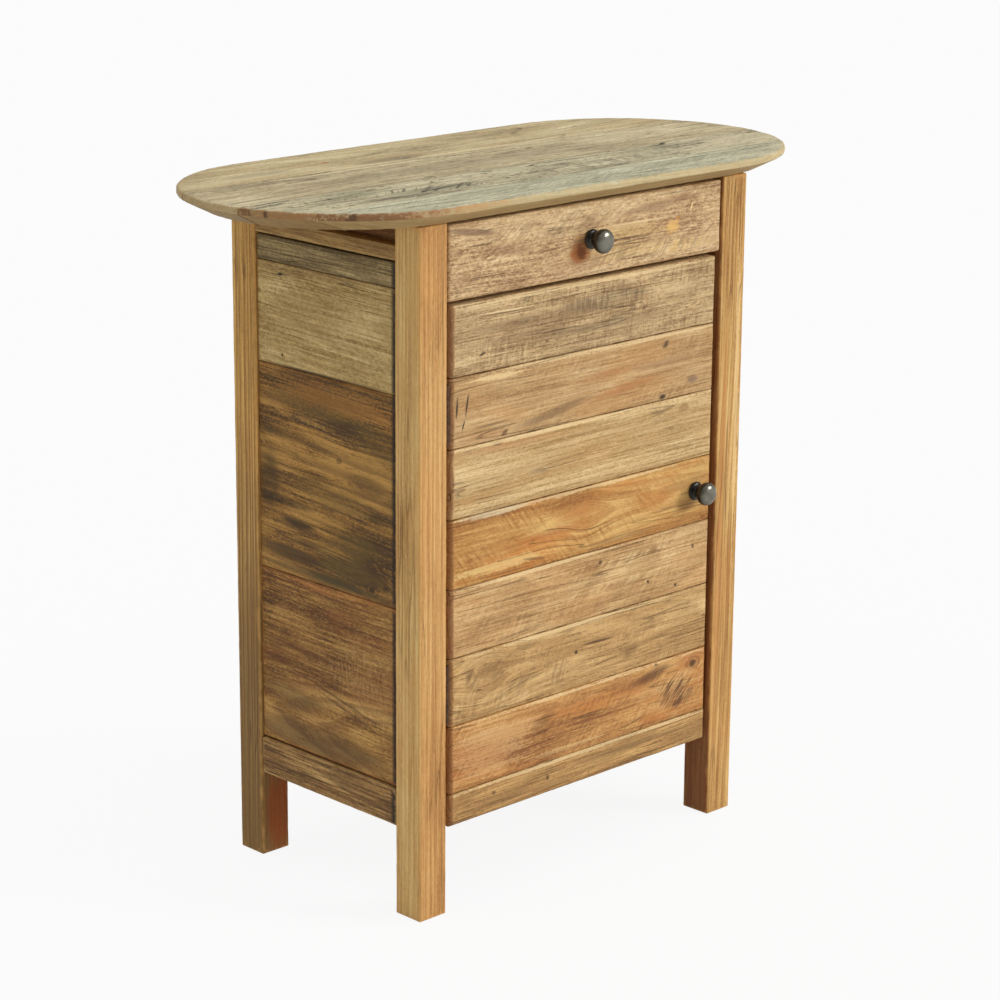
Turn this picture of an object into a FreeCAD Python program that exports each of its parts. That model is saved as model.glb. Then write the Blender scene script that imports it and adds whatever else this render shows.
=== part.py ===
import FreeCAD, Part
import math
import os
import re

import Sketcher

# Storage side table: oval top, four legs, board sides, one drawer and one hinged door.
# +X is to the right, -Y is the front, +Z is up, and the floor is at zero.

# Driving sizes in millimetres.
SIZES = {
    # Legs and their footprint
    "frame_width": 480,
    "frame_depth": 290,
    "leg_side": 37.5,
    "leg_height": 730,
    "leg_round": 2.4,
    "foot_chamfer": 1.5,
    # Oval top
    "top_length": 756,
    "top_width": 346,
    "top_thickness": 21,
    "top_nose": 8,
    "top_bevel_run": 26,
    "top_round": 2.5,
    "top_front_board": 65,
    "top_second_board": 76,
    "top_third_board": 100,
    # Rails and their joints
    "rail_setback": 1,
    "rail_thickness": 20,
    "rail_bottom": 96.5,
    "lower_rail_height": 41,
    "upper_rail_height": 16,
    "upper_rail_drop": 23,
    "back_rail_height": 88,
    "tenon_length": 12,
    "tenon_thickness": 10,
    "tenon_shoulder": 5,
    "upper_tenon_shoulder": 1.5,
    "mortise_end_gap": 0.5,
    "front_rail_setback": 21,
    "front_rail_lift": 4,
    "front_tenon_thickness": 8,
    "divider_height": 30,
    "divider_overlap": 13,
    # Panels in grooves
    "groove_depth": 6,
    "groove_gap": 0.2,
    "side_board_setback": 3,
    "side_board_thickness": 10,
    "side_first_height": 28,
    "side_second_height": 108.7,
    "side_third_height": 223.3,
    "back_panel_thickness": 8,
    "bottom_panel_thickness": 10,
    "bottom_panel_rise": 24,
    "bottom_ledge_depth": 5,
    # Shelf
    "shelf_height": 370,
    "shelf_thickness": 14,
    "shelf_gap": 0.3,
    "cleat_side": 15,
    "cleat_end_gap": 7.5,
    # Top battens and their screws
    "batten_gap": 1.5,
    "batten_thickness": 20,
    "top_screw_diameter": 4,
    "top_screw_grip": 9,
    "top_screw_head": 7,
    "top_screw_head_height": 2.5,
    "top_screw_inset": 5,
    "screw_gap": 0.1,
    # Drawer
    "drawer_setback": 0.8,
    "drawer_side_gap": 2.4,
    "drawer_top_gap": 3,
    "drawer_door_gap": 4.5,
    "drawer_front_height": 77.5,
    "drawer_front_thickness": 18,
    "drawer_board_thickness": 12,
    "drawer_depth": 238,
    "drawer_side_height": 56,
    "drawer_run_gap": 1.2,
    "drawer_lift_gap": 0.4,
    "drawer_bottom_thickness": 5,
    "drawer_bottom_rise": 8,
    "drawer_groove_depth": 5,
    "runner_width": 24,
    "runner_height": 20,
    "runner_gap": 0.1,
    # Door
    "door_setback": 2.5,
    "door_gap": 5.6,
    "door_thickness": 18,
    "door_bottom": 93,
    "door_strip_height": 36.1,
    "door_batten_width": 40,
    "door_batten_thickness": 14,
    "door_batten_inset": 37,
    "door_batten_end": 38,
    # Knobs and their bolts
    "knob_length": 25,
    "knob_base_diameter": 20,
    "knob_base_thickness": 3.5,
    "knob_neck_diameter": 11,
    "knob_head_diameter": 26,
    "knob_head_thickness": 12.5,
    "door_knob_inset": 26.5,
    "bolt_diameter": 4,
    "bolt_grip": 14,
    "bolt_head_diameter": 8,
    "bolt_head_height": 2.6,
    "bolt_gap": 0.2,
    # Butt hinges
    "hinge_height": 60,
    "hinge_inset": 1.5,
    "knuckle_diameter": 4.8,
    "knuckle_gap": 0.4,
    "leaf_thickness": 1.2,
    "leaf_width": 14,
    "leaf_relief": 3.4,
    "pin_diameter": 2.4,
    "pin_gap": 0.05,
    "pin_head_height": 1.2,
    "hinge_screw_diameter": 2.5,
    "hinge_screw_length": 14,
    "hinge_screw_head": 4.5,
    "hinge_screw_head_height": 1,
    "hinge_screw_inset": 8,
    "frame_screw_pitch": 40,
    "door_screw_pitch": 24,
    # Magnetic catch
    "catch_length": 45,
    "catch_height": 12,
    "catch_depth": 15,
    "catch_inset": 12,
    "catch_air": 0.3,
    "strike_length": 30,
    "strike_height": 10,
    "strike_thickness": 1,
    # Every cut runs this far past the face that it starts from
    "cut_overrun": 1,
}

DOOR_FULL_BOARDS = 7
SAME = 1e-6

doc = FreeCAD.newDocument("storage_side_table")
sheet = doc.addObject("Spreadsheet::Sheet", "Sizes")
for row, (alias, size) in enumerate(SIZES.items(), start=1):
    sheet.set(f"A{row}", alias)
    sheet.set(f"B{row}", str(size))
    sheet.setAlias(f"B{row}", alias)
doc.recompute()

PIECES = []
SIZE_NAME = re.compile(r"[a-z]+(?:_[a-z]+)+")
TURNS = {
    "x": FreeCAD.Rotation(FreeCAD.Vector(0, 1, 0), 90),
    "-x": FreeCAD.Rotation(FreeCAD.Vector(0, 1, 0), -90),
    "-y": FreeCAD.Rotation(FreeCAD.Vector(1, 0, 0), 90),
    "z": FreeCAD.Rotation(),
}


def bind(made, prop, formula):
    """Tie a property to a formula written in the sheet's size names."""
    made.setExpression(prop, SIZE_NAME.sub(lambda found: "Sizes." + found.group(0), formula))


def place(made, x, y, z):
    """Tie a solid's corner or centre to three formulas."""
    for axis, formula in zip("xyz", (x, y, z)):
        bind(made, f"Placement.Base.{axis}", formula)


def block(name, x, y, z):
    """A box that runs from the low to the high formula on each axis."""
    made = doc.addObject("Part::Box", name)
    for side, (low, high) in zip(("Length", "Width", "Height"), (x, y, z)):
        bind(made, side, f"({high}) - ({low})")
    place(made, x[0], y[0], z[0])
    return made


def rod(name, along, diameter, length, at):
    """A round bar from a point along one axis."""
    made = doc.addObject("Part::Cylinder", name)
    made.Placement = FreeCAD.Placement(FreeCAD.Vector(), TURNS[along])
    bind(made, "Radius", f"({diameter}) / 2")
    bind(made, "Height", length)
    place(made, *at)
    return made


def join(name, solids):
    """One solid out of several that meet."""
    made = doc.addObject("Part::MultiFuse", name)
    made.Shapes = solids
    made.Refine = True
    return made


def cut(name, base, tools):
    """A solid with one or more tools taken out of it."""
    tool = tools[0]
    if len(tools) > 1:
        tool = doc.addObject("Part::MultiFuse", f"{name}_tools")
        tool.Shapes = tools
    made = doc.addObject("Part::Cut", name)
    made.Base = base
    made.Tool = tool
    return made


def group(name, solids):
    """A node that holds several equal solids."""
    made = doc.addObject("Part::Compound", name)
    made.Links = solids
    return made


def piece(made):
    """Hand a finished solid in under its own name."""
    made.Label = made.Name
    PIECES.append(made)
    return made


def flip(span, sign):
    """The same span on the right (+1) or mirrored to the left (-1)."""
    low, high = span
    return span if sign > 0 else (f"-({high})", f"-({low})")


def centred(width):
    """A span of a width about zero."""
    return f"-({width}) / 2", f"({width}) / 2"


def origin_plane(body, role):
    """One of a body's own origin planes."""
    return next(feature for feature in body.Origin.OriginFeatures if feature.Role == role)


def new_sketch(body):
    """An empty sketch on a body's ground plane."""
    sketch = body.newObject("Sketcher::SketchObject", f"{body.Name}_outline")
    sketch.AttachmentSupport = (origin_plane(body, "XY_Plane"), [""])
    sketch.MapMode = "FlatFace"
    return sketch


def drive(sketch, name, constraint, formula):
    """Add a dimension to a sketch and tie it to a formula."""
    index = sketch.addConstraint(constraint)
    sketch.renameConstraint(index, name)
    bind(sketch, f"Constraints.{name}", formula)


def pad(body, sketch, length):
    """Raise a sketch into a solid."""
    made = body.newObject("PartDesign::Pad", f"{body.Name}_pad")
    made.Profile = sketch
    bind(made, "Length", length)
    doc.recompute()
    return made


def edges_where(feature, test):
    """Names of a feature's edges whose box passes a test."""
    numbered = enumerate(feature.Shape.Edges, start=1)
    return [f"Edge{index}" for index, edge in numbered if test(edge.BoundBox)]


# Places that several pieces share, as formulas.
INNER_X = "(frame_width / 2 - leg_side)"
INNER_Y = "(frame_depth / 2 - leg_side)"
FRONT = "(-frame_depth / 2)"
RAIL_OUT = "(frame_width / 2 - rail_setback)"
RAIL_IN = f"({RAIL_OUT} - rail_thickness)"
TENON_OUT = f"({RAIL_OUT} - (rail_thickness - tenon_thickness) / 2)"
BOARD_OUT = "(frame_width / 2 - side_board_setback)"
BOARD_IN = f"({BOARD_OUT} - side_board_thickness)"
LOWER_TOP = "(rail_bottom + lower_rail_height)"
UPPER_TOP = "(leg_height - upper_rail_drop)"
UPPER_BOTTOM = f"({UPPER_TOP} - upper_rail_height)"
BACK_OUT = "(frame_depth / 2 - rail_setback)"
BACK_IN = f"({BACK_OUT} - rail_thickness)"
BACK_BOTTOM = "(leg_height - back_rail_height)"
PANEL_FRONT = f"({BACK_OUT} - (rail_thickness + back_panel_thickness) / 2)"
FRONT_RAIL = f"({FRONT} + front_rail_setback)"
BOTTOM_PANEL = "(rail_bottom + bottom_panel_rise)"
BOTTOM_PANEL_TOP = f"({BOTTOM_PANEL} + bottom_panel_thickness)"
DRAWER_TOP = "(leg_height - drawer_top_gap)"
DRAWER_BOTTOM = f"({DRAWER_TOP} - drawer_front_height)"
DOOR_TOP = f"({DRAWER_BOTTOM} - drawer_door_gap)"
DOOR_BOARD = f"(({DOOR_TOP} - door_bottom - door_strip_height) / {DOOR_FULL_BOARDS})"
DIVIDER_BOTTOM = f"({DOOR_TOP} - divider_overlap)"
DIVIDER_TOP = f"({DIVIDER_BOTTOM} + divider_height)"
DRAWER_FACE = f"({FRONT} + drawer_setback)"
DRAWER_REAR = f"({DRAWER_FACE} + drawer_front_thickness)"
DRAWER_END = f"({DRAWER_REAR} + drawer_depth)"
DRAWER_OUT = f"({INNER_X} - drawer_run_gap)"
DRAWER_IN = f"({DRAWER_OUT} - drawer_board_thickness)"
DRAWER_FLOOR = f"({DIVIDER_TOP} + drawer_lift_gap)"
DRAWER_PANEL = f"({DRAWER_FLOOR} + drawer_bottom_rise)"
DOOR_EDGE = f"({INNER_X} - door_gap)"
DOOR_FACE = f"({FRONT} + door_setback)"
DOOR_REAR = f"({DOOR_FACE} + door_thickness)"
HINGE_X = f"(-{INNER_X} + door_gap / 2)"
HINGE_Y = f"({DOOR_FACE} + hinge_inset)"
BATTEN_IN = f"({INNER_X} + batten_gap)"
TOP_SEAMS = [
    "(-top_width / 2 + top_front_board)",
    "(-top_width / 2 + top_front_board + top_second_board)",
    "(-top_width / 2 + top_front_board + top_second_board + top_third_board)",
]

LOWER_TENON = ("rail_bottom + tenon_shoulder", f"{LOWER_TOP} - groove_depth - tenon_shoulder")
UPPER_TENON = (
    f"{UPPER_BOTTOM} + groove_depth + upper_tenon_shoulder",
    f"{UPPER_TOP} - upper_tenon_shoulder",
)
BACK_TENON = (f"{BACK_BOTTOM} + groove_depth + tenon_shoulder", "leg_height - tenon_shoulder")
DIVIDER_TENON = (f"{DIVIDER_BOTTOM} + tenon_shoulder", f"{DIVIDER_TOP} - tenon_shoulder")
FRONT_LOW = "(rail_bottom + front_rail_lift)"
FRONT_TENON = (f"{FRONT_LOW} + tenon_shoulder", f"{BOTTOM_PANEL_TOP} - tenon_shoulder")
TENON_X = (f"{TENON_OUT} - tenon_thickness", TENON_OUT)
BACK_TENON_MIDDLE = f"({BACK_OUT} + {BACK_IN}) / 2"
BACK_TENON_Y = (
    f"{BACK_TENON_MIDDLE} - tenon_thickness / 2",
    f"{BACK_TENON_MIDDLE} + tenon_thickness / 2",
)
FRONT_TENON_MIDDLE = f"({FRONT_RAIL} - {INNER_Y}) / 2"
FRONT_TENON_Y = (
    f"{FRONT_TENON_MIDDLE} - front_tenon_thickness / 2",
    f"{FRONT_TENON_MIDDLE} + front_tenon_thickness / 2",
)
BOARD_GROOVE_X = (f"{BOARD_IN} - groove_gap", f"{BOARD_OUT} + groove_gap")
PANEL_GROOVE_Y = (f"{PANEL_FRONT} - groove_gap", f"{PANEL_FRONT} + back_panel_thickness + groove_gap")
BOARD_GROOVE_Z = (f"{LOWER_TOP} - groove_depth", f"{UPPER_BOTTOM} + groove_depth")
PANEL_GROOVE_Z = (f"{LOWER_TOP} - groove_depth", f"{BACK_BOTTOM} + groove_depth")

SIDES = {"left": -1, "right": 1}


# Oval top: one blank with its rounded edge and under-bevel, sawn into boards
def top_blank():
    """The whole top as one solid, its underside at the legs' height."""
    body = doc.addObject("PartDesign::Body", "top_blank")
    sketch = new_sketch(body)
    radius = SIZES["top_width"] / 2
    reach = SIZES["top_length"] / 2 - radius
    up = FreeCAD.Vector(0, 0, 1)
    outline = ((-reach, radius), (reach, radius), (reach, -radius), (-reach, -radius))
    corners = [FreeCAD.Vector(x, y, 0) for x, y in outline]
    back = sketch.addGeometry(Part.LineSegment(corners[0], corners[1]))
    right_circle = Part.Circle(FreeCAD.Vector(reach, 0, 0), up, radius)
    right = sketch.addGeometry(Part.ArcOfCircle(right_circle, -math.pi / 2, math.pi / 2))
    front = sketch.addGeometry(Part.LineSegment(corners[2], corners[3]))
    left_circle = Part.Circle(FreeCAD.Vector(-reach, 0, 0), up, radius)
    left = sketch.addGeometry(Part.ArcOfCircle(left_circle, math.pi / 2, 3 * math.pi / 2))
    start, end, centre, origin, x_axis = 1, 2, 3, -1, -1
    for first, first_end, second, second_end in (
        (back, end, right, end),
        (right, start, front, start),
        (front, end, left, end),
        (left, start, back, start),
    ):
        sketch.addConstraint(Sketcher.Constraint("Tangent", first, first_end, second, second_end))
    sketch.addConstraint(Sketcher.Constraint("Equal", right, left))
    sketch.addConstraint(Sketcher.Constraint("Symmetric", right, centre, left, centre, origin, start))
    sketch.addConstraint(Sketcher.Constraint("PointOnObject", right, centre, x_axis))
    drive(sketch, "end_radius", Sketcher.Constraint("Radius", right, radius), "top_width / 2")
    drive(
        sketch,
        "centre_reach",
        Sketcher.Constraint("DistanceX", left, centre, right, centre, 2 * reach),
        "top_length - top_width",
    )
    slab = pad(body, sketch, "top_thickness")
    bevel = body.newObject("PartDesign::Chamfer", "top_bevel")
    bevel.Base = (slab, edges_where(slab, lambda box: box.ZMax < SAME))
    bevel.ChamferType = "Two distances"
    bind(bevel, "Size", "top_thickness - top_nose")
    bind(bevel, "Size2", "top_bevel_run")
    doc.recompute()
    nose = body.newObject("PartDesign::Fillet", "top_nose_round")
    level = SIZES["top_thickness"]
    nose.Base = (bevel, edges_where(bevel, lambda box: box.ZMin > level - SAME))
    bind(nose, "Radius", "top_round")
    place(body, "0", "0", "leg_height")
    doc.recompute()
    return body


def top_screw_places():
    """Screw centres under the three boards that the battens reach."""
    inset = f"({BATTEN_IN} + top_screw_inset)"
    middles = [f"({TOP_SEAMS[0]} + {TOP_SEAMS[1]}) / 2", f"({TOP_SEAMS[1]} + {TOP_SEAMS[2]}) / 2"]
    middles.append(f"({TOP_SEAMS[2]} + {INNER_Y}) / 2")
    return [[(f"{sign} * {inset}", middle) for sign in SIDES.values()] for middle in middles]


def top_boards():
    """Four boards side by side, sawn from the blank and bored for the batten screws."""
    blank = top_blank()
    seams = ["(-top_width / 2 - cut_overrun)", *TOP_SEAMS, "(top_width / 2 + cut_overrun)"]
    through = ("leg_height - cut_overrun", "leg_height + top_thickness + cut_overrun")
    along = centred("top_length + 2 * cut_overrun")
    screws = [[], *top_screw_places()]
    for index, places in enumerate(screws):
        name = f"top_board_{index + 1}"
        strip = block(f"{name}_strip", along, (seams[index], seams[index + 1]), through)
        board = doc.addObject("Part::Common", f"{name}_plain" if places else name)
        board.Base = blank
        board.Tool = strip
        if places:
            bores = [
                rod(f"{name}_bore_{count}", "z", "top_screw_diameter + 2 * screw_gap",
                    "top_screw_grip + screw_gap + cut_overrun", (x, y, "leg_height - cut_overrun"))
                for count, (x, y) in enumerate(places, start=1)
            ]
            board = cut(name, board, bores)
        piece(board)


def top_battens():
    """Cross battens under the top, and the screws that go up through them."""
    screws = []
    for side, sign in SIDES.items():
        span = (BATTEN_IN, f"{BATTEN_IN} + batten_thickness")
        name = f"top_batten_{side}"
        bar = block(f"{name}_bar", flip(span, sign), centred(f"2 * ({INNER_Y} - groove_gap)"),
                    (UPPER_TOP, "leg_height"))
        bores = []
        for count, pair in enumerate(top_screw_places(), start=1):
            x, y = pair[0 if sign < 0 else 1]
            bores.append(rod(f"{name}_bore_{count}", "z", "top_screw_diameter + 2 * screw_gap",
                             "upper_rail_drop + 2 * cut_overrun", (x, y, f"{UPPER_TOP} - cut_overrun")))
            shank = rod(f"top_screw_shank_{side}_{count}", "z", "top_screw_diameter",
                        "upper_rail_drop + top_screw_grip", (x, y, UPPER_TOP))
            head = rod(f"top_screw_head_{side}_{count}", "z", "top_screw_head", "top_screw_head_height",
                       (x, y, f"{UPPER_TOP} - top_screw_head_height"))
            screws.append(join(f"top_screw_{side}_{count}", [shank, head]))
        piece(cut(name, bar, bores))
    piece(group("top_screws", screws))


# Legs: square bars with rounded corners, mortised and grooved
def leg_bar(name):
    """A square bar with rounded corners and a chamfered foot."""
    body = doc.addObject("PartDesign::Body", f"{name}_bar")
    sketch = new_sketch(body)
    points = [FreeCAD.Vector(x, y, 0) for x, y in ((0, 0), (1, 0), (1, 1), (0, 1))]
    lines = [sketch.addGeometry(Part.LineSegment(points[i], points[(i + 1) % 4])) for i in range(4)]
    start, end, origin = 1, 2, -1
    for i in range(4):
        sketch.addConstraint(Sketcher.Constraint("Coincident", lines[i], end, lines[(i + 1) % 4], start))
        sketch.addConstraint(Sketcher.Constraint("Vertical" if i % 2 else "Horizontal", lines[i]))
    sketch.addConstraint(Sketcher.Constraint("Coincident", lines[0], start, origin, start))
    drive(sketch, "width", Sketcher.Constraint("DistanceX", lines[0], start, lines[0], end, 1), "leg_side")
    drive(sketch, "depth", Sketcher.Constraint("DistanceY", lines[1], start, lines[1], end, 1), "leg_side")
    bar = pad(body, sketch, "leg_height")
    corners = body.newObject("PartDesign::Fillet", f"{name}_corners")
    corners.Base = (bar, edges_where(bar, lambda box: box.ZLength > SAME))
    bind(corners, "Radius", "leg_round")
    doc.recompute()
    foot = body.newObject("PartDesign::Chamfer", f"{name}_foot")
    foot.Base = (corners, edges_where(corners, lambda box: box.ZMax < SAME))
    bind(foot, "Size", "foot_chamfer")
    doc.recompute()
    return body


def leg(name, x_sign, y_sign):
    """One leg with the mortises and grooves of its two sides."""
    bar = leg_bar(name)
    corner_x = "frame_width / 2 - leg_side" if x_sign > 0 else "-frame_width / 2"
    corner_y = "frame_depth / 2 - leg_side" if y_sign > 0 else "-frame_depth / 2"
    place(bar, corner_x, corner_y, "0")
    depth = "tenon_length + mortise_end_gap"
    along_y = flip((f"{INNER_Y} - cut_overrun", f"{INNER_Y} + {depth}"), y_sign)
    along_x = flip((f"{INNER_X} - cut_overrun", f"{INNER_X} + {depth}"), x_sign)
    groove_y = flip((f"{INNER_Y} - cut_overrun", f"{INNER_Y} + groove_depth"), y_sign)
    groove_x = flip((f"{INNER_X} - cut_overrun", f"{INNER_X} + groove_depth"), x_sign)
    tools = [
        block(f"{name}_mortise_low", flip(TENON_X, x_sign), along_y, LOWER_TENON),
        block(f"{name}_mortise_high", flip(TENON_X, x_sign), along_y, UPPER_TENON),
        block(f"{name}_board_groove", flip(BOARD_GROOVE_X, x_sign), groove_y, BOARD_GROOVE_Z),
    ]
    if y_sign > 0:
        tools.append(block(f"{name}_mortise_back_low", along_x, BACK_TENON_Y, LOWER_TENON))
        tools.append(block(f"{name}_mortise_back_high", along_x, BACK_TENON_Y, BACK_TENON))
        tools.append(block(f"{name}_panel_groove", groove_x, PANEL_GROOVE_Y, PANEL_GROOVE_Z))
    else:
        tools.append(block(f"{name}_mortise_front_low", along_x, FRONT_TENON_Y, FRONT_TENON))
        tools.append(block(f"{name}_mortise_divider", along_x, FRONT_TENON_Y, DIVIDER_TENON))
    if y_sign < 0 and x_sign < 0:
        tools.extend(hinge_bores(name, f"-{INNER_X}", "-x", "frame_screw_pitch"))
    piece(cut(name, bar, tools))


def legs():
    """All four legs."""
    for side, x_sign in SIDES.items():
        leg(f"leg_front_{side}", x_sign, -1)
        leg(f"leg_back_{side}", x_sign, 1)


# Rails: bars between the legs with a tenon at each end
def side_rails():
    """Upper and lower rail on each side, grooved for the side boards."""
    long_y = centred(f"2 * ({INNER_Y} + tenon_length)")
    short_y = centred(f"2 * {INNER_Y}")
    groove_y = centred(f"2 * ({INNER_Y} + cut_overrun)")
    for side, sign in SIDES.items():
        width = flip((RAIL_IN, RAIL_OUT), sign)
        groove = flip(BOARD_GROOVE_X, sign)
        tenon = flip(TENON_X, sign)
        low = f"side_rail_lower_{side}"
        bar = join(f"{low}_bar", [
            block(f"{low}_shaft", width, short_y, ("rail_bottom", LOWER_TOP)),
            block(f"{low}_tenons", tenon, long_y, LOWER_TENON),
        ])
        ledge = flip((f"{RAIL_IN} - cut_overrun", f"{RAIL_IN} + bottom_ledge_depth"), sign)
        piece(cut(low, bar, [
            block(f"{low}_groove", groove, groove_y,
                  (f"{LOWER_TOP} - groove_depth", f"{LOWER_TOP} + cut_overrun")),
            block(f"{low}_ledge", ledge, groove_y,
                  (f"{BOTTOM_PANEL} - groove_gap", f"{BOTTOM_PANEL_TOP} + groove_gap")),
        ]))
        high = f"side_rail_upper_{side}"
        bar = join(f"{high}_bar", [
            block(f"{high}_shaft", width, short_y, (UPPER_BOTTOM, UPPER_TOP)),
            block(f"{high}_tenons", tenon, long_y, UPPER_TENON),
        ])
        piece(cut(high, bar, [
            block(f"{high}_groove", groove, groove_y,
                  (f"{UPPER_BOTTOM} - cut_overrun", f"{UPPER_BOTTOM} + groove_depth")),
        ]))


def back_rails():
    """Upper and lower rail at the back, grooved for the back panel."""
    depth = (BACK_IN, BACK_OUT)
    long_x = centred(f"2 * ({INNER_X} + tenon_length)")
    short_x = centred(f"2 * {INNER_X}")
    groove_x = centred(f"2 * ({INNER_X} + cut_overrun)")
    low = join("back_rail_lower_bar", [
        block("back_rail_lower_shaft", short_x, depth, ("rail_bottom", LOWER_TOP)),
        block("back_rail_lower_tenons", long_x, BACK_TENON_Y, LOWER_TENON),
    ])
    piece(cut("back_rail_lower", low, [
        block("back_rail_lower_groove", groove_x, PANEL_GROOVE_Y,
              (f"{LOWER_TOP} - groove_depth", f"{LOWER_TOP} + cut_overrun")),
    ]))
    high = join("back_rail_upper_bar", [
        block("back_rail_upper_shaft", short_x, depth, (BACK_BOTTOM, "leg_height")),
        block("back_rail_upper_tenons", long_x, BACK_TENON_Y, BACK_TENON),
    ])
    piece(cut("back_rail_upper", high, [
        block("back_rail_upper_groove", groove_x, PANEL_GROOVE_Y,
              (f"{BACK_BOTTOM} - cut_overrun", f"{BACK_BOTTOM} + groove_depth")),
    ]))


def front_rails():
    """Divider between drawer and door, and the rail behind the door's foot."""
    depth = (FRONT_RAIL, f"-{INNER_Y}")
    long_x = centred(f"2 * ({INNER_X} + tenon_length)")
    short_x = centred(f"2 * {INNER_X}")
    for name, span, tenon in (
        ("front_divider_rail", (DIVIDER_BOTTOM, DIVIDER_TOP), DIVIDER_TENON),
        ("front_bottom_rail", (FRONT_LOW, BOTTOM_PANEL_TOP), FRONT_TENON),
    ):
        piece(join(name, [
            block(f"{name}_shaft", short_x, depth, span),
            block(f"{name}_tenons", long_x, FRONT_TENON_Y, tenon),
        ]))


# Panels
def side_boards():
    """Four boards on each side, from the upper rail down."""
    seams = [UPPER_BOTTOM]
    for height in ("side_first_height", "side_second_height", "side_third_height"):
        seams.append(f"({seams[-1]} - {height})")
    seams.append(LOWER_TOP)
    tongue = "(groove_depth - groove_gap)"
    long_y = centred(f"2 * ({INNER_Y} + {tongue})")
    last = len(seams) - 2
    for side, sign in SIDES.items():
        for index in range(len(seams) - 1):
            high = f"{seams[0]} + {tongue}" if index == 0 else seams[index]
            low = f"{seams[-1]} - {tongue}" if index == last else seams[index + 1]
            name = f"side_board_{side}_{index + 1}"
            piece(block(name, flip((BOARD_IN, BOARD_OUT), sign), long_y, (low, high)))


def inner_panels():
    """Back panel, bottom panel, and the shelf on its cleats."""
    tongue = "(groove_depth - groove_gap)"
    piece(block("back_panel", centred(f"2 * ({INNER_X} + {tongue})"),
                (PANEL_FRONT, f"{PANEL_FRONT} + back_panel_thickness"),
                (f"{LOWER_TOP} - {tongue}", f"{BACK_BOTTOM} + {tongue}")))
    piece(block("bottom_panel", centred(f"2 * ({RAIL_IN} + bottom_ledge_depth - groove_gap)"),
                centred(f"2 * ({INNER_Y} - groove_gap)"), (BOTTOM_PANEL, BOTTOM_PANEL_TOP)))
    piece(block("shelf", centred(f"2 * ({BOARD_IN} - shelf_gap)"), centred(f"2 * ({INNER_Y} - shelf_gap)"),
                ("shelf_height", "shelf_height + shelf_thickness")))
    for side, sign in SIDES.items():
        piece(block(f"shelf_cleat_{side}", flip((f"{BOARD_IN} - cleat_side", BOARD_IN), sign),
                    centred(f"2 * ({INNER_Y} - cleat_end_gap)"),
                    ("shelf_height - cleat_side", "shelf_height")))


# Drawer
def drawer():
    """Runners, and the drawer's box with its front."""
    for side, sign in SIDES.items():
        piece(block(f"drawer_runner_{side}",
                    flip((f"{INNER_X} - runner_gap - runner_width", f"{INNER_X} - runner_gap"), sign),
                    (f"-{INNER_Y}", BACK_IN), (f"{DIVIDER_TOP} - runner_height", DIVIDER_TOP)))
    groove_z = (f"{DRAWER_PANEL} - groove_gap", f"{DRAWER_PANEL} + drawer_bottom_thickness + groove_gap")
    box_z = (DRAWER_FLOOR, f"{DRAWER_FLOOR} + drawer_side_height")
    front = block("drawer_front_board", centred(f"2 * ({INNER_X} - drawer_side_gap)"),
                  (DRAWER_FACE, DRAWER_REAR), (DRAWER_BOTTOM, DRAWER_TOP))
    slot = block("drawer_front_slot", centred(f"2 * ({DRAWER_IN} + drawer_groove_depth)"),
                 (f"{DRAWER_REAR} - drawer_groove_depth", f"{DRAWER_REAR} + cut_overrun"), groove_z)
    middle = f"({DRAWER_BOTTOM} + {DRAWER_TOP}) / 2"
    bore = bolt_bore("drawer_front", "0", DRAWER_FACE, DRAWER_REAR, middle)
    piece(cut("drawer_front", front, [slot, bore]))
    for side, sign in SIDES.items():
        board = block(f"drawer_side_{side}_board", flip((DRAWER_IN, DRAWER_OUT), sign),
                      (DRAWER_REAR, DRAWER_END), box_z)
        slot_x = flip((f"{DRAWER_IN} - cut_overrun", f"{DRAWER_IN} + drawer_groove_depth"), sign)
        slot = block(f"drawer_side_{side}_slot", slot_x,
                     (f"{DRAWER_REAR} - cut_overrun", f"{DRAWER_END} + cut_overrun"), groove_z)
        piece(cut(f"drawer_side_{side}", board, [slot]))
    piece(block("drawer_back", centred(f"2 * {DRAWER_IN}"),
                (f"{DRAWER_END} - drawer_board_thickness", DRAWER_END),
                (f"{DRAWER_PANEL} + drawer_bottom_thickness", box_z[1])))
    piece(block("drawer_bottom", centred(f"2 * ({DRAWER_IN} + drawer_groove_depth - groove_gap)"),
                (f"{DRAWER_REAR} - drawer_groove_depth + groove_gap", DRAWER_END),
                (DRAWER_PANEL, f"{DRAWER_PANEL} + drawer_bottom_thickness")))
    knob("drawer", "0", DRAWER_FACE, DRAWER_REAR, middle)


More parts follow.
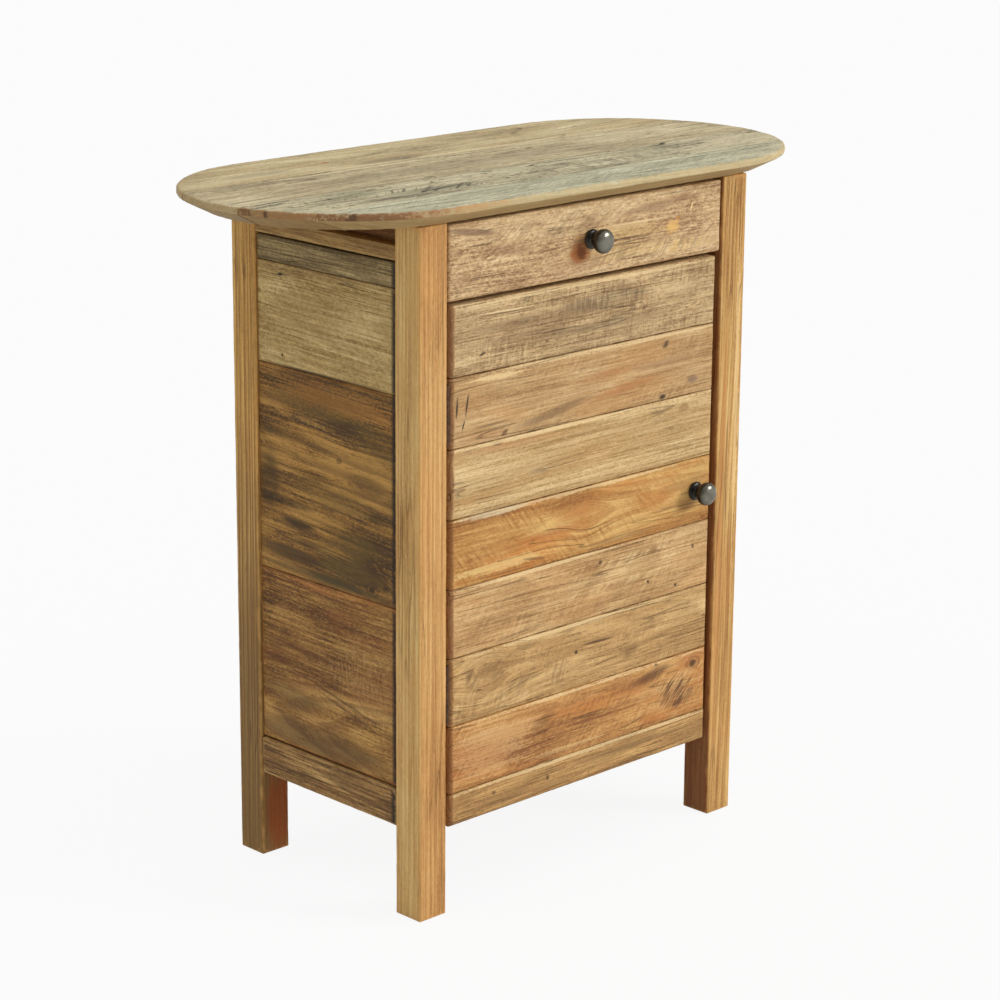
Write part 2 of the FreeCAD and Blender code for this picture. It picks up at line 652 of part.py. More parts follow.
# Door
def door():
    """Eight boards on two battens."""
    seams = [f"({DOOR_TOP} - {count} * {DOOR_BOARD})" for count in range(DOOR_FULL_BOARDS + 1)]
    seams.append("door_bottom")
    width = centred(f"2 * {DOOR_EDGE}")
    knob_x = f"({DOOR_EDGE} - door_knob_inset)"
    knob_board = (DOOR_FULL_BOARDS + 1) // 2
    for index in range(DOOR_FULL_BOARDS + 1):
        name = f"door_board_{index + 1}"
        tools = []
        if index + 1 == knob_board:
            knob_z = f"({seams[index]} + {seams[index + 1]}) / 2"
            tools = [bolt_bore(name, knob_x, DOOR_FACE, DOOR_REAR, knob_z)]
        if index + 1 in HINGE_BOARDS:
            tools = hinge_bores(name, f"-{DOOR_EDGE}", "x", "door_screw_pitch", index + 1)
        board = block(f"{name}_plain" if tools else name, width, (DOOR_FACE, DOOR_REAR),
                      (seams[index + 1], seams[index]))
        piece(cut(name, board, tools) if tools else board)
    for side, sign in SIDES.items():
        outer = f"({DOOR_EDGE} - door_batten_inset)"
        piece(block(f"door_batten_{side}", flip((f"{outer} - door_batten_width", outer), sign),
                    (DOOR_REAR, f"{DOOR_REAR} + door_batten_thickness"),
                    ("door_bottom + door_batten_end", f"{DOOR_TOP} - door_batten_end")))
    knob("door", knob_x, DOOR_FACE, DOOR_REAR, knob_z)


# Knobs
def bolt_bore(name, x, face, rear, z):
    """The hole of a knob's bolt through a board."""
    return rod(f"{name}_bolt_bore", "-y", "bolt_diameter + 2 * bolt_gap",
               f"{rear} - {face} + 2 * cut_overrun", (x, f"{rear} + cut_overrun", z))


def knob(owner, x, face, rear, z):
    """A turned knob on a board's face, and its bolt from behind."""
    name = f"{owner}_knob"
    base = rod(f"{name}_base", "-y", "knob_base_diameter", "knob_base_thickness", (x, face, z))
    neck = rod(f"{name}_neck", "-y", "knob_neck_diameter", "knob_length - knob_head_thickness / 2",
               (x, face, z))
    head = doc.addObject("Part::Ellipsoid", f"{name}_head")
    head.Placement = FreeCAD.Placement(FreeCAD.Vector(), TURNS["-y"])
    bind(head, "Radius1", "knob_head_thickness / 2")
    bind(head, "Radius2", "knob_head_diameter / 2")
    bind(head, "Radius3", "knob_head_diameter / 2")
    place(head, x, f"{face} - knob_length + knob_head_thickness / 2", z)
    socket = rod(f"{name}_socket", "-y", "bolt_diameter + 2 * bolt_gap",
                 "bolt_grip + bolt_gap + cut_overrun", (x, f"{face} + cut_overrun", z))
    piece(cut(name, join(f"{name}_turning", [base, neck, head]), [socket]))
    shank = rod(f"{name}_bolt_shank", "-y", "bolt_diameter", f"{rear} - {face} + bolt_grip", (x, rear, z))
    cap = rod(f"{name}_bolt_cap", "-y", "bolt_head_diameter", "bolt_head_height",
              (x, f"{rear} + bolt_head_height", z))
    piece(join(f"{name}_bolt", [shank, cap]))


# Butt hinges in the gap between the left leg and the door
HINGE_BOARDS = {2: "upper", 6: "lower"}


def hinge_middle(board):
    """Height of the hinge at the middle of a door board."""
    return f"({DOOR_TOP} - ({board} - 0.5) * {DOOR_BOARD})"


def hinge_screw_places(board, pitch):
    """Heights of a leaf's two screws."""
    return [f"({hinge_middle(board)} {sign} {pitch} / 2)" for sign in "-+"]


def hinge_bores(name, face, along, pitch, board=None):
    """Pilot holes of the hinge screws in a leg or in one door board."""
    boards = HINGE_BOARDS if board is None else [board]
    back = 1 if along == "-x" else -1
    return [
        rod(f"{name}_pilot_{at}_{count}", along, "hinge_screw_diameter + 2 * screw_gap",
            "hinge_screw_length + cut_overrun",
            (f"{face} + {back} * cut_overrun", f"{HINGE_Y} + hinge_screw_inset", z))
        for at in boards
        for count, z in enumerate(hinge_screw_places(at, pitch))
    ]


def hinge_leaf(name, board, sign, knuckles, pitch):
    """A leaf: plate on one side of the gap, its knuckles, and its bored holes."""
    middle = hinge_middle(board)
    foot = f"({middle} - hinge_height / 2)"
    inner = "(door_gap / 2 - leaf_thickness)"
    plate_x = (f"{HINGE_X} + {inner}", f"{HINGE_X} + door_gap / 2")
    if sign < 0:
        plate_x = (f"{HINGE_X} - door_gap / 2", f"{HINGE_X} - {inner}")
    solids = [block(f"{name}_plate", plate_x, (f"{HINGE_Y} + leaf_relief", f"{HINGE_Y} + leaf_width"),
                    (foot, f"{foot} + hinge_height"))]
    for count, (low, high) in enumerate(knuckles):
        span = (f"{foot} + {low}", f"{foot} + {high}")
        solids.append(block(f"{name}_strap_{count}", plate_x, (HINGE_Y, f"{HINGE_Y} + leaf_relief"), span))
        solids.append(rod(f"{name}_knuckle_{count}", "z", "knuckle_diameter", f"{high} - ({low})",
                          (HINGE_X, HINGE_Y, span[0])))
    tools = [rod(f"{name}_eye", "z", "pin_diameter + 2 * pin_gap", "hinge_height + 2 * cut_overrun",
                 (HINGE_X, HINGE_Y, f"{foot} - cut_overrun"))]
    for count, z in enumerate(hinge_screw_places(board, pitch)):
        tools.append(rod(f"{name}_hole_{count}", "x", "hinge_screw_diameter + 2 * screw_gap",
                         "leaf_thickness + 2 * cut_overrun",
                         (f"{plate_x[0]} - cut_overrun", f"{HINGE_Y} + hinge_screw_inset", z)))
    return cut(name, join(f"{name}_metal", solids), tools)


def hinge_screws(name, board, sign, pitch):
    """The two screws of a leaf, their heads on the leaf's inner face."""
    made = []
    inner = "(door_gap / 2 - leaf_thickness)"
    along, back = ("x", "-x") if sign > 0 else ("-x", "x")
    face = f"({HINGE_X} + {sign} * {inner})"
    for count, z in enumerate(hinge_screw_places(board, pitch)):
        at = (face, f"{HINGE_Y} + hinge_screw_inset", z)
        screw = f"{name}_{board}_{count}"
        shank = rod(f"{screw}_shank", along, "hinge_screw_diameter", "hinge_screw_length", at)
        head = rod(f"{screw}_head", back, "hinge_screw_head", "hinge_screw_head_height", at)
        made.append(join(screw, [shank, head]))
    return made


def hinges():
    """Two hinges, each with a frame leaf, a door leaf, a headed pin and four screws."""
    third = "hinge_height / 3"
    outer = [("0", f"{third} - knuckle_gap / 2"), (f"2 * {third} + knuckle_gap / 2", "hinge_height")]
    inner = [(f"{third} + knuckle_gap / 2", f"2 * {third} - knuckle_gap / 2")]
    frame_leaves, door_leaves, pins, frame_screws, door_screws = [], [], [], [], []
    for board, place_name in HINGE_BOARDS.items():
        frame_leaves.append(hinge_leaf(f"frame_leaf_{place_name}", board, -1, outer, "frame_screw_pitch"))
        door_leaves.append(hinge_leaf(f"door_leaf_{place_name}", board, 1, inner, "door_screw_pitch"))
        foot = f"({hinge_middle(board)} - hinge_height / 2)"
        solids = [rod(f"pin_shaft_{board}", "z", "pin_diameter", "hinge_height", (HINGE_X, HINGE_Y, foot))]
        for count, low in enumerate((f"{foot} - pin_head_height", f"{foot} + hinge_height")):
            solids.append(rod(f"pin_head_{board}_{count}", "z", "knuckle_diameter", "pin_head_height",
                              (HINGE_X, HINGE_Y, low)))
        pins.append(join(f"pin_{board}", solids))
        frame_screws.extend(hinge_screws("frame_screw", board, -1, "frame_screw_pitch"))
        door_screws.extend(hinge_screws("door_screw", board, 1, "door_screw_pitch"))
    piece(group("hinge_frame_leaves", frame_leaves))
    piece(group("hinge_door_leaves", door_leaves))
    piece(group("hinge_pins", pins))
    piece(group("hinge_frame_screws", frame_screws))
    piece(group("hinge_door_screws", door_screws))


# Magnetic catch
def catch():
    """Magnet block under the divider rail and its strike plate on the door."""
    right = f"({DOOR_EDGE} - catch_inset)"
    strike_x = f"({right} - (catch_length - strike_length) / 2)"
    strike_z = f"({DIVIDER_BOTTOM} - (catch_height + strike_height) / 2)"
    plate_rear = f"({DOOR_REAR} + strike_thickness)"
    piece(block("magnetic_catch", (f"{right} - catch_length", right),
                (f"{plate_rear} + catch_air", f"{plate_rear} + catch_air + catch_depth"),
                (f"{DIVIDER_BOTTOM} - catch_height", DIVIDER_BOTTOM)))
    piece(block("strike_plate", (f"{strike_x} - strike_length", strike_x), (DOOR_REAR, plate_rear),
                (strike_z, f"{strike_z} + strike_height")))


top_boards()
top_battens()
legs()
side_rails()
back_rails()
front_rails()
side_boards()
inner_panels()
drawer()
door()
hinges()
catch()
doc.recompute()

# Nothing is written unless every object of the model is sound.
for made in doc.Objects:
    if "Invalid" in made.State or "Error" in made.State:
        raise RuntimeError(f"{made.Name} failed: {made.State}")
for made in PIECES:
    if made.Shape.isNull() or not made.Shape.isValid() or not made.Shape.Solids:
        raise RuntimeError(f"{made.Label} has no sound shape")

os.makedirs("parts", exist_ok=True)
for made in PIECES:
    made.Shape.exportStep(f"parts/{made.Label}.step")
print(len(PIECES), "pieces written")
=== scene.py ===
"""Dresses the storage side table: old oiled boards, dark turned knobs, aged brass hinges."""
import logging
import math
from dataclasses import dataclass, replace
from enum import Enum
from typing import Callable, ClassVar, Iterable, Sequence, Union

import bmesh
import bpy
from mathutils import Matrix, Vector


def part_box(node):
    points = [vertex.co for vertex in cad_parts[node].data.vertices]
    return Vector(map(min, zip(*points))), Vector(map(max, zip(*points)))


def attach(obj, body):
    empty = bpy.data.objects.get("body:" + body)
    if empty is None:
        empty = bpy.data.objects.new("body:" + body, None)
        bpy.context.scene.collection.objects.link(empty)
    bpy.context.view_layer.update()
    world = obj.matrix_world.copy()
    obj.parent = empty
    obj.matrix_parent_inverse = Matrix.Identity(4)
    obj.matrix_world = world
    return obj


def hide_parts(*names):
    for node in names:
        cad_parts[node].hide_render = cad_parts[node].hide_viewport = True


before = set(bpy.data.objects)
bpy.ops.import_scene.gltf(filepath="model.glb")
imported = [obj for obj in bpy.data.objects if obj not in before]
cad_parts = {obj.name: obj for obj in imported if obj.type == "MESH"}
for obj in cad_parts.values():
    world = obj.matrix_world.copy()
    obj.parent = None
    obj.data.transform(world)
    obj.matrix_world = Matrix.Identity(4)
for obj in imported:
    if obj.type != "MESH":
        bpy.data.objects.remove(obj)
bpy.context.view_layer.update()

MM = 0.001
SAME = 0.02 * MM
WEAR = "wear"
EDGE_GROUP = "edge"
WHOLE = 4000.0
SHARP = math.radians(60)
HOLLOW_OCTAVES = 2
Socket = bpy.types.NodeSocket
Piece = bpy.types.Object
Value = Union[float, Socket]
Triple = tuple[float, float, float]
log = logging.getLogger("side_table")


class Face(Enum):
    """A side of a block: its axis, and whether it is the low or the high end."""

    LEFT = (0, 0)
    RIGHT = (0, 1)
    FRONT = (1, 0)
    BACK = (1, 1)
    BOTTOM = (2, 0)
    TOP = (2, 1)


class Grain(Enum):
    """The axes that a board's length, its width and its depth lie on."""

    FRONT = (0, 2, 1)
    SIDE = (1, 2, 0)
    TOP = (0, 1, 2)
    CROSS = (1, 0, 2)
    POST = (2, 0, 1)


class Body(Enum):
    """The bodies that pieces ride on."""

    CARCASS = "carcass"
    DRAWER = "drawer"
    DOOR = "door"


class Slot(Enum):
    """The record's material slots."""

    TOP = "top_boards"
    LEGS = "legs"
    SIDES = "side_boards"
    RAILS = "rails"
    DOOR = "door_boards"
    DRAWER = "drawer_front"
    KNOBS = "knobs"


class Spread(Enum):
    """How a mark is laid on: over the colour, on the worn rim only, or by lifting what is there."""

    COVER = "cover"
    RIM = "rim"
    LIFT = "lift"


@dataclass(frozen=True)
class Colour:
    """A colour as the eye sees it, each part from 0 to 255."""

    red: float
    green: float
    blue: float

    def linear(self) -> tuple[float, float, float, float]:
        """The same colour in light units.

        Returns:
            Red, green and blue from 0 to 1, and opaque.
        """
        parts = [part / 255 for part in (self.red, self.green, self.blue)]
        light = [p / 12.92 if p <= 0.04045 else ((p + 0.055) / 1.055) ** 2.4 for p in parts]
        return (light[0], light[1], light[2], 1.0)


class Nodes:
    """Writes the node tree of one material."""

    def __init__(self, name: str) -> None:
        """Start a material with an empty shader.

        Args:
            name: the material's name.
        """
        self.material = bpy.data.materials.new(name)
        self.material.use_nodes = True
        self.tree = self.material.node_tree
        self.shader = self.tree.nodes["Principled BSDF"]

    def add(self, kind: str, **settings: object) -> bpy.types.Node:
        """Add a node and set its properties.

        Args:
            kind: the node's type.
            settings: its properties.

        Returns:
            The node.
        """
        made = self.tree.nodes.new(kind)
        for name, setting in settings.items():
            setattr(made, name, setting)
        return made

    def feed(self, socket: Socket, value: object) -> None:
        """Link a socket to another, or set its own value.

        Args:
            socket: the socket that is fed.
            value: another socket, or a number or colour.
        """
        if isinstance(value, Socket):
            self.tree.links.new(value, socket)
        else:
            socket.default_value = value

    def math(self, kind: str, *values: Value, clamp: bool = False) -> Socket:
        """One sum on one, two or three values.

        Args:
            kind: the operation's name.
            values: numbers or sockets.
            clamp: keep the result between 0 and 1.

        Returns:
            The result's socket.
        """
        made = self.add("ShaderNodeMath", operation=kind, use_clamp=clamp)
        for socket, value in zip(made.inputs, values):
            self.feed(socket, value)
        return made.outputs[0]

    def vector(self, kind: str, *values: object) -> Socket:
        """One vector operation.

        Args:
            kind: the operation's name.
            values: triples or sockets.

        Returns:
            The result's socket.
        """
        made = self.add("ShaderNodeVectorMath", operation=kind)
        for socket, value in zip(made.inputs, values):
            self.feed(socket, value)
        return made.outputs[0]

    def times(self, first: Value, *others: Value) -> Value:
        """The product of several values.

        Args:
            first: the first number or socket.
            others: those that it is multiplied by, in turn.

        Returns:
            The product.
        """
        for other in others:
            first = self.math("MULTIPLY", first, other)
        return first

    def plus(self, first: Value, *others: Value) -> Value:
        """The sum of several values.

        Args:
            first: the first number or socket.
            others: those that are added, in turn.

        Returns:
            The sum.
        """
        for other in others:
            first = self.math("ADD", first, other)
        return first

    def weigh(self, value: Value, factor: Value, base: Value) -> Socket:
        """A value times a factor, added to a base."""
        return self.math("MULTIPLY_ADD", value, factor, base)

    def squares(self, first: Value, second: Value) -> Value:
        """The sum of two values' squares."""
        return self.plus(self.times(first, first), self.times(second, second))

    def turned(self, beside: Value, above: Value, degrees: float) -> tuple[Value, Value]:
        """Two distances, read in a frame that is turned.

        Args:
            beside: the distance along.
            above: the distance across.
            degrees: how far the frame is turned.

        Returns:
            The distances along and across in the turned frame.
        """
        angle = math.radians(degrees)
        level = self.weigh(beside, math.cos(angle), self.times(above, math.sin(angle)))
        upright = self.weigh(above, math.cos(angle), self.times(beside, -math.sin(angle)))
        return level, upright

    def join(self, x: Value, y: Value, z: Value) -> Socket:
        """A vector out of three values.

        Args:
            x: its first part.
            y: its second part.
            z: its third part.

        Returns:
            The vector's socket.
        """
        made = self.add("ShaderNodeCombineXYZ")
        for socket, value in zip(made.inputs, (x, y, z)):
            self.feed(socket, value)
        return made.outputs[0]

    def noise(self, place: Socket, stretch: Triple, detail: float = 2.0,
              roughness: float = 0.55) -> Socket:
        """Noise about a half, with its own scale on each axis.

        Args:
            place: where it is read, in metres.
            stretch: waves per metre on each axis.
            detail: how many finer octaves are added.
            roughness: how strong these are.

        Returns:
            The noise's socket.
        """
        made = self.add("ShaderNodeTexNoise")
        self.feed(made.inputs["Vector"], self.vector("MULTIPLY", place, stretch))
        made.inputs["Scale"].default_value = 1.0
        made.inputs["Detail"].default_value = detail
        made.inputs["Roughness"].default_value = roughness
        return made.outputs[0]

    def step(self, value: Value, low: float, high: float) -> Socket:
        """A smooth step.

        Args:
            value: what is read.
            low: the value at which the step is 0.
            high: the value at which it is 1.

        Returns:
            The step's socket.
        """
        made = self.add("ShaderNodeMapRange", interpolation_type="SMOOTHSTEP")
        for socket, given in zip(made.inputs, (value, low, high, 0.0, 1.0)):
            self.feed(socket, given)
        return made.outputs[0]

    def blend(self, amount: Value, under: object, over: object, kind: str = "MIX") -> Socket:
        """Lay one colour over another.

        Args:
            amount: how much of the upper colour shows.
            under: the lower colour.
            over: the upper colour.
            kind: how they mix.

        Returns:
            The mixed colour's socket.
        """
        made = self.add("ShaderNodeMix", data_type="RGBA", blend_type=kind)
        self.feed(made.inputs[0], amount)
        self.feed(made.inputs[6], under)
        self.feed(made.inputs[7], over)
        return made.outputs[2]

    def ramp(self, value: Value, stops: Sequence[tuple[float, Colour]]) -> Socket:
        """A colour band read at a value.

        Args:
            value: where it is read.
            stops: the colours with their places.

        Returns:
            The colour's socket.
        """
        made = self.add("ShaderNodeValToRGB")
        band = made.color_ramp.elements
        while len(band) < len(stops):
            band.new(1.0)
        for element, (place, colour) in zip(band, stops):
            element.position = place
            element.color = colour.linear()
        self.feed(made.inputs[0], value)
        return made.outputs[0]

    def relief(self, height: Socket, depth: float, strength: float) -> None:
        """Give the shader a bump.

        Args:
            height: the surface's height, about 0 to 1.
            depth: how many metres a height of 1 is.
            strength: how much of it shows.
        """
        made = self.add("ShaderNodeBump")
        made.inputs["Strength"].default_value = strength
        made.inputs["Distance"].default_value = depth
        self.feed(made.inputs["Height"], height)
        self.feed(self.shader.inputs["Normal"], made.outputs[0])


@dataclass(frozen=True)
class Knot:
    """A knot: its place from the board's middle and its radius, in millimetres."""

    along: float
    across: float
    radius: float
    tone: Colour = Colour(58, 38, 22)
    strength: float = 0.85


@dataclass(frozen=True)
class Mark:
    """A stain, worn patch or scratch, in millimetres from the board's middle.

    With a pitch it is a row of short strokes, which lean along the board as they cross it.
    """

    along: float
    across: float
    length: float
    width: float
    tone: Colour
    strength: float = 0.5
    turn: float = 0.0
    ragged: float = 1.0
    pitch: float = 0.0
    lean: float = 0.0
    spread: Spread = Spread.COVER


SOOT = Colour(38, 29, 21)
PEAT = Colour(50, 38, 20)
UMBER = Colour(100, 70, 42)
RUST = Colour(178, 98, 46)
AMBER = Colour(208, 138, 62)
STRAW = Colour(232, 198, 134)
ASH = Colour(164, 150, 120)
MAROON = Colour(92, 44, 22)


@dataclass(frozen=True)
class Wood:
    """Old oiled timber: tones, growth rings, fibres, saw marks, cracks and wear.

    Lengths are millimetres, amounts run from 0 to about 1. The fine figure is as many times
    wider than on a planed board as coarse says.
    """

    dark: Colour
    body: Colour
    light: Colour
    late: Colour
    edge: Colour = Colour(170, 108, 52)
    # The under tone is painted shade on the bevel below the top's nose.
    under: Colour = Colour(160, 124, 76)
    tint: Colour = AMBER
    seed: float = 0.0
    ring_pitch: float = 3.4
    heart_depth: float = 70.0
    heart_offset: float = 10.0
    heart_tilt: float = 0.03
    wander: float = 9.0
    slope: float = 0.0
    rings: float = 0.4
    fibres: float = 0.9
    hairs: float = 1.4
    strokes: float = 0.6
    grit: float = 0.7
    scuffs: float = 0.8
    scuff_turn: float = 35.0
    blotches: float = 0.8
    tinting: float = 0.25
    pores: float = 0.4
    flecks: float = 0.25
    saw: float = 0.0
    saw_slant: float = 0.15
    checks: float = 0.35
    wear: float = 0.7
    coarse: float = 1.0
    knots: tuple[Knot, ...] = ()
    marks: tuple[Mark, ...] = ()

    def material(self, name: str, low: Vector, high: Vector, grain: Grain) -> bpy.types.Material:
        """Paint one board.

        Args:
            name: the material's name.
            low: the board's lowest corner.
            high: its highest corner.
            grain: how its length, width and depth lie.

        Returns:
            The material.
        """
        return WoodPattern(self, name, (low + high) / 2, grain).material


@dataclass(frozen=True)
class Streak:
    """Noise on a board: waves per metre along and across it, finer octaves and their strength."""

    along: float
    across: float
    detail: float = 2.0
    roughness: float = 0.55


class WoodPattern:
    """The node tree of one board, laid layer over layer.

    A step gives the value at which a layer starts and the value at which it is full.
    """

    ROUGH_LOW = 0.5
    ROUGH_SPAN = 0.3
    SHINE = 0.3
    SEED_STEPS = (0.37, 0.53, 0.71)

    DRIFT = Streak(2.4, 12.0)
    JITTER = Streak(5.0, 60.0)
    FIBRES = Streak(5.0, 340.0, 4.0, 0.62)
    HAIRS = Streak(15.0, 600.0, 3.0, 0.7)
    STROKES = Streak(7.0, 60.0, 1.5, 0.5)
    BLOTCHES = Streak(5.0, 18.0, 3.0, 0.6)
    GRIT = Streak(250.0, 430.0, 3.0, 0.75)
    SCUFFS = Streak(38.0, 280.0, 3.0, 0.65)
    SCUFFED = Streak(11.0, 28.0)
    TINTED = Streak(7.0, 26.0, 3.0, 0.6)
    DASHES = Streak(95.0, 560.0, 1.0, 0.5)
    SAW_BANDS = Streak(190.0, 60.0)
    SAWN = Streak(9.0, 40.0)
    CRACKS = Streak(5.0, 95.0, 1.0, 0.5)
    CRACKED = Streak(9.0, 26.0)
    RUBBED = Streak(60.0, 150.0, 3.0, 0.65)

    RING_RISE = (0.1, 0.78)
    RING_FALL = (1.0, 0.84)
    SCUFF_STEP = (0.4, 0.65)
    TINT_STEP = (0.48, 0.66)
    PORE_STEP = (0.62, 0.72)
    FLECK_STEP = (0.38, 0.28)
    SAWN_STEP = (0.45, 0.62)
    BRIGHT_BAND = (0.55, 0.7)
    DULL_BAND = (0.45, 0.3)
    MARK_STEP = (1.0, 0.1)
    ROW_STEP = (0.46, 0.62)
    KNOT_HEART = (0.9, 0.35)
    KNOT_RIM = (0.4, 0.1)
    CRACK_STEP = (0.018, 0.004)
    CRACKED_STEP = (0.52, 0.62)
    CRACK_END = (0.6, 0.1)
    RUB_STEP = (0.35, 0.95)
    STREAK_STEP = (0.3, 0.7)
    BEVEL_STEP = (1.2, 1.8)
    NOSE_STEP = (1.8, 1.2)

    MIDDLE = 0.5
    TONE_STOPS = (0.16, 0.5, 0.84)
    TINT_SHIFT = (1.3, 4.2, 0.0)
    CRACK_SHIFT = (3.1, 1.7, 0.0)
    JITTER_SHARE = 0.8
    YEAR_RATE = 0.3
    YEAR_SPREAD = 2.4
    KNOT_STRETCH = 1.4
    KNOT_FALL = -0.22
    KNOT_PUSH = 0.85
    KNOT_TEAR = 1.3
    KNOT_RIM_AT = 1.15
    KNOT_RIM_SHARE = 0.4
    MARK_TEAR = -1.6
    ROW_LENGTH = 6
    RUB_TEAR = 1.6
    BEVEL_STREAKS = 0.5
    BEVEL_COVER = 0.85

    RELIEF_DEPTH = 1.5 * MM
    RELIEF_STRENGTH = 0.8
    RING_RELIEF = 0.3
    HAIR_RELIEF = 0.6
    STROKE_RELIEF = 0.5
    GRIT_RELIEF = 0.4
    SCUFF_RELIEF = 0.7
    BAND_RELIEF = 0.6
    CRACK_RELIEF = -1.2

    def __init__(self, wood: Wood, name: str, centre: Vector, grain: Grain) -> None:
        """Lay all the layers of one board.

        Args:
            wood: its timber.
            name: the material's name.
            centre: the board's middle.
            grain: how its length, width and depth lie.
        """
        self.wood = wood
        self.nodes = Nodes(name)
        self.material = self.nodes.material
        self._lay_out(centre, grain)
        self._bend_grain()
        self._draw_figure()
        colour = self._base_colour()
        for layer in (self._dashes, self._saw_marks, self._marks, self._knots, self._cracks, self._wear):
            colour = layer(colour)
        self._surface(colour)

    def _lay_out(self, centre: Vector, grain: Grain) -> None:
        """Read the place on the board along, across and into the timber.

        Args:
            centre: the board's middle.
            grain: how its length, width and depth lie.
        """
        n = self.nodes
        object_place = n.add("ShaderNodeTexCoord").outputs["Object"]
        split = n.add("ShaderNodeSeparateXYZ")
        n.feed(split.inputs[0], n.vector("SUBTRACT", object_place, tuple(centre)))
        self.along, self.across, self.depth = (split.outputs[axis] for axis in grain.value)
        self.offset = tuple(self.wood.seed * step for step in self.SEED_STEPS)
        self.place = self._swept(self.along, self.across)
        self.worn = n.add("ShaderNodeAttribute", attribute_name=WEAR).outputs["Fac"]

    def _swept(self, along: Value, across: Value) -> Socket:
        """A place on the board, moved by the timber's seed."""
        return self.nodes.vector("ADD", self.nodes.join(along, across, self.depth), self.offset)

    def _from(self, along: float, across: float) -> tuple[Socket, Socket]:
        """Distances from a point on the face, in metres."""
        n = self.nodes
        return n.math("SUBTRACT", self.along, along * MM), n.math("SUBTRACT", self.across, across * MM)

    def _noise(self, place: Socket, streak: Streak, coarse: float = 1.0) -> Socket:
        """Noise as a streak says, as many times wider across as coarse says."""
        across = streak.across / coarse
        return self.nodes.noise(place, (streak.along, across, across), streak.detail, streak.roughness)

    def _swing(self, *layers: Socket) -> Socket:
        """How far noises, added up, are from their middle."""
        return self.nodes.math("SUBTRACT", self.nodes.plus(*layers), self.MIDDLE * len(layers))

    def _knot_reach(self, knot: Knot) -> tuple[Socket, Socket]:
        """Measure the way to a knot.

        Args:
            knot: the knot.

        Returns:
            How far a point is from it, in its radii, and how far across, in metres.
        """
        n = self.nodes
        beside, above = self._from(knot.along, knot.across)
        long = n.math("DIVIDE", beside, self.KNOT_STRETCH * knot.radius * MM)
        high = n.math("DIVIDE", above, knot.radius * MM)
        return n.math("SQRT", n.squares(long, high)), above

    def _bend_grain(self) -> None:
        """Let the grain wander, and flow round the knots."""
        n, wood = self.nodes, self.wood
        drift = self._swing(self._noise(self.place, self.DRIFT))
        level = n.weigh(self.along, -wood.slope, self.across)
        self.bent = n.weigh(drift, 2 * wood.wander * MM, level)
        self.reaches = []
        for knot in wood.knots:
            reach, above = self._knot_reach(knot)
            self.reaches.append(reach)
            fall = n.math("EXPONENT", n.times(reach, reach, self.KNOT_FALL))
            self.bent = n.math("SUBTRACT", self.bent, n.times(above, self.KNOT_PUSH, fall))
        self.lane = self._swept(self.along, self.bent)

    def _draw_figure(self) -> None:
        """Growth rings, fibres, hairs, strokes, blotches, grit and scuffs, each as a value."""
        wood = self.wood
        self.rings = self._draw_rings()
        self.fibres = self._noise(self.lane, self.FIBRES, wood.coarse)
        self.hairs = self._noise(self.lane, self.HAIRS, wood.coarse)
        self.strokes = self._noise(self.lane, self.STROKES, wood.coarse)
        self.blotches = self._noise(self.place, self.BLOTCHES)
        self.grit = self._noise(self.place, self.GRIT, wood.coarse)
        self.scuffs = self._draw_scuffs()

    def _draw_rings(self) -> Socket:
        """Late wood of growth rings about the tree's heart, of uneven widths.

        Returns:
            From 0 in the early wood to 1 in the late wood.
        """
        n, wood = self.nodes, self.wood
        pitch = wood.ring_pitch * MM
        sideways = n.math("SUBTRACT", self.bent, wood.heart_offset * MM)
        inward = n.plus(n.weigh(self.along, wood.heart_tilt, self.depth), wood.heart_depth * MM)
        radius = n.math("SQRT", n.squares(sideways, inward))
        outwards = n.vector("ADD", n.join(radius, 0.0, 0.0), self.offset)
        years = n.noise(outwards, (self.YEAR_RATE / pitch, 1, 1))
        jitter = self._noise(self.lane, self.JITTER)
        phase = n.weigh(jitter, self.JITTER_SHARE, n.math("DIVIDE", radius, pitch))
        turn = n.math("FRACT", n.weigh(years, self.YEAR_SPREAD, phase))
        return n.times(n.step(turn, *self.RING_RISE), n.step(turn, *self.RING_FALL))

    def _draw_scuffs(self) -> Socket:
        """Short rubbed strokes that cross the grain at a slant, in patches.

        Returns:
            A value about a half.
        """
        n = self.nodes
        level, above = n.turned(self.along, self.across, self.wood.scuff_turn)
        strokes = self._noise(self._swept(level, above), self.SCUFFS)
        patch = n.step(self._noise(self.place, self.SCUFFED), *self.SCUFF_STEP)
        return n.weigh(self._swing(strokes), patch, self.MIDDLE)

    def _base_colour(self) -> Socket:
        """Tones by fibre, stroke and blotch, with the late wood drawn over them.

        Returns:
            The colour.
        """
        n, wood = self.nodes, self.wood
        tone = self.MIDDLE
        layers = ((self.fibres, wood.fibres), (self.hairs, wood.hairs), (self.strokes, wood.strokes),
                  (self.grit, wood.grit), (self.scuffs, wood.scuffs), (self.blotches, wood.blotches))
        for layer, amount in layers:
            tone = n.weigh(self._swing(layer), amount, tone)
        colour = n.ramp(tone, tuple(zip(self.TONE_STOPS, (wood.dark, wood.body, wood.light))))
        patch = self._noise(n.vector("ADD", self.place, self.TINT_SHIFT), self.TINTED)
        tinted = n.times(n.step(patch, *self.TINT_STEP), wood.tinting)
        colour = n.blend(tinted, colour, wood.tint.linear())
        late = n.math("MULTIPLY", self.rings, n.times(self.blotches, 2 * wood.rings), clamp=True)
        return n.blend(late, colour, wood.late.linear())

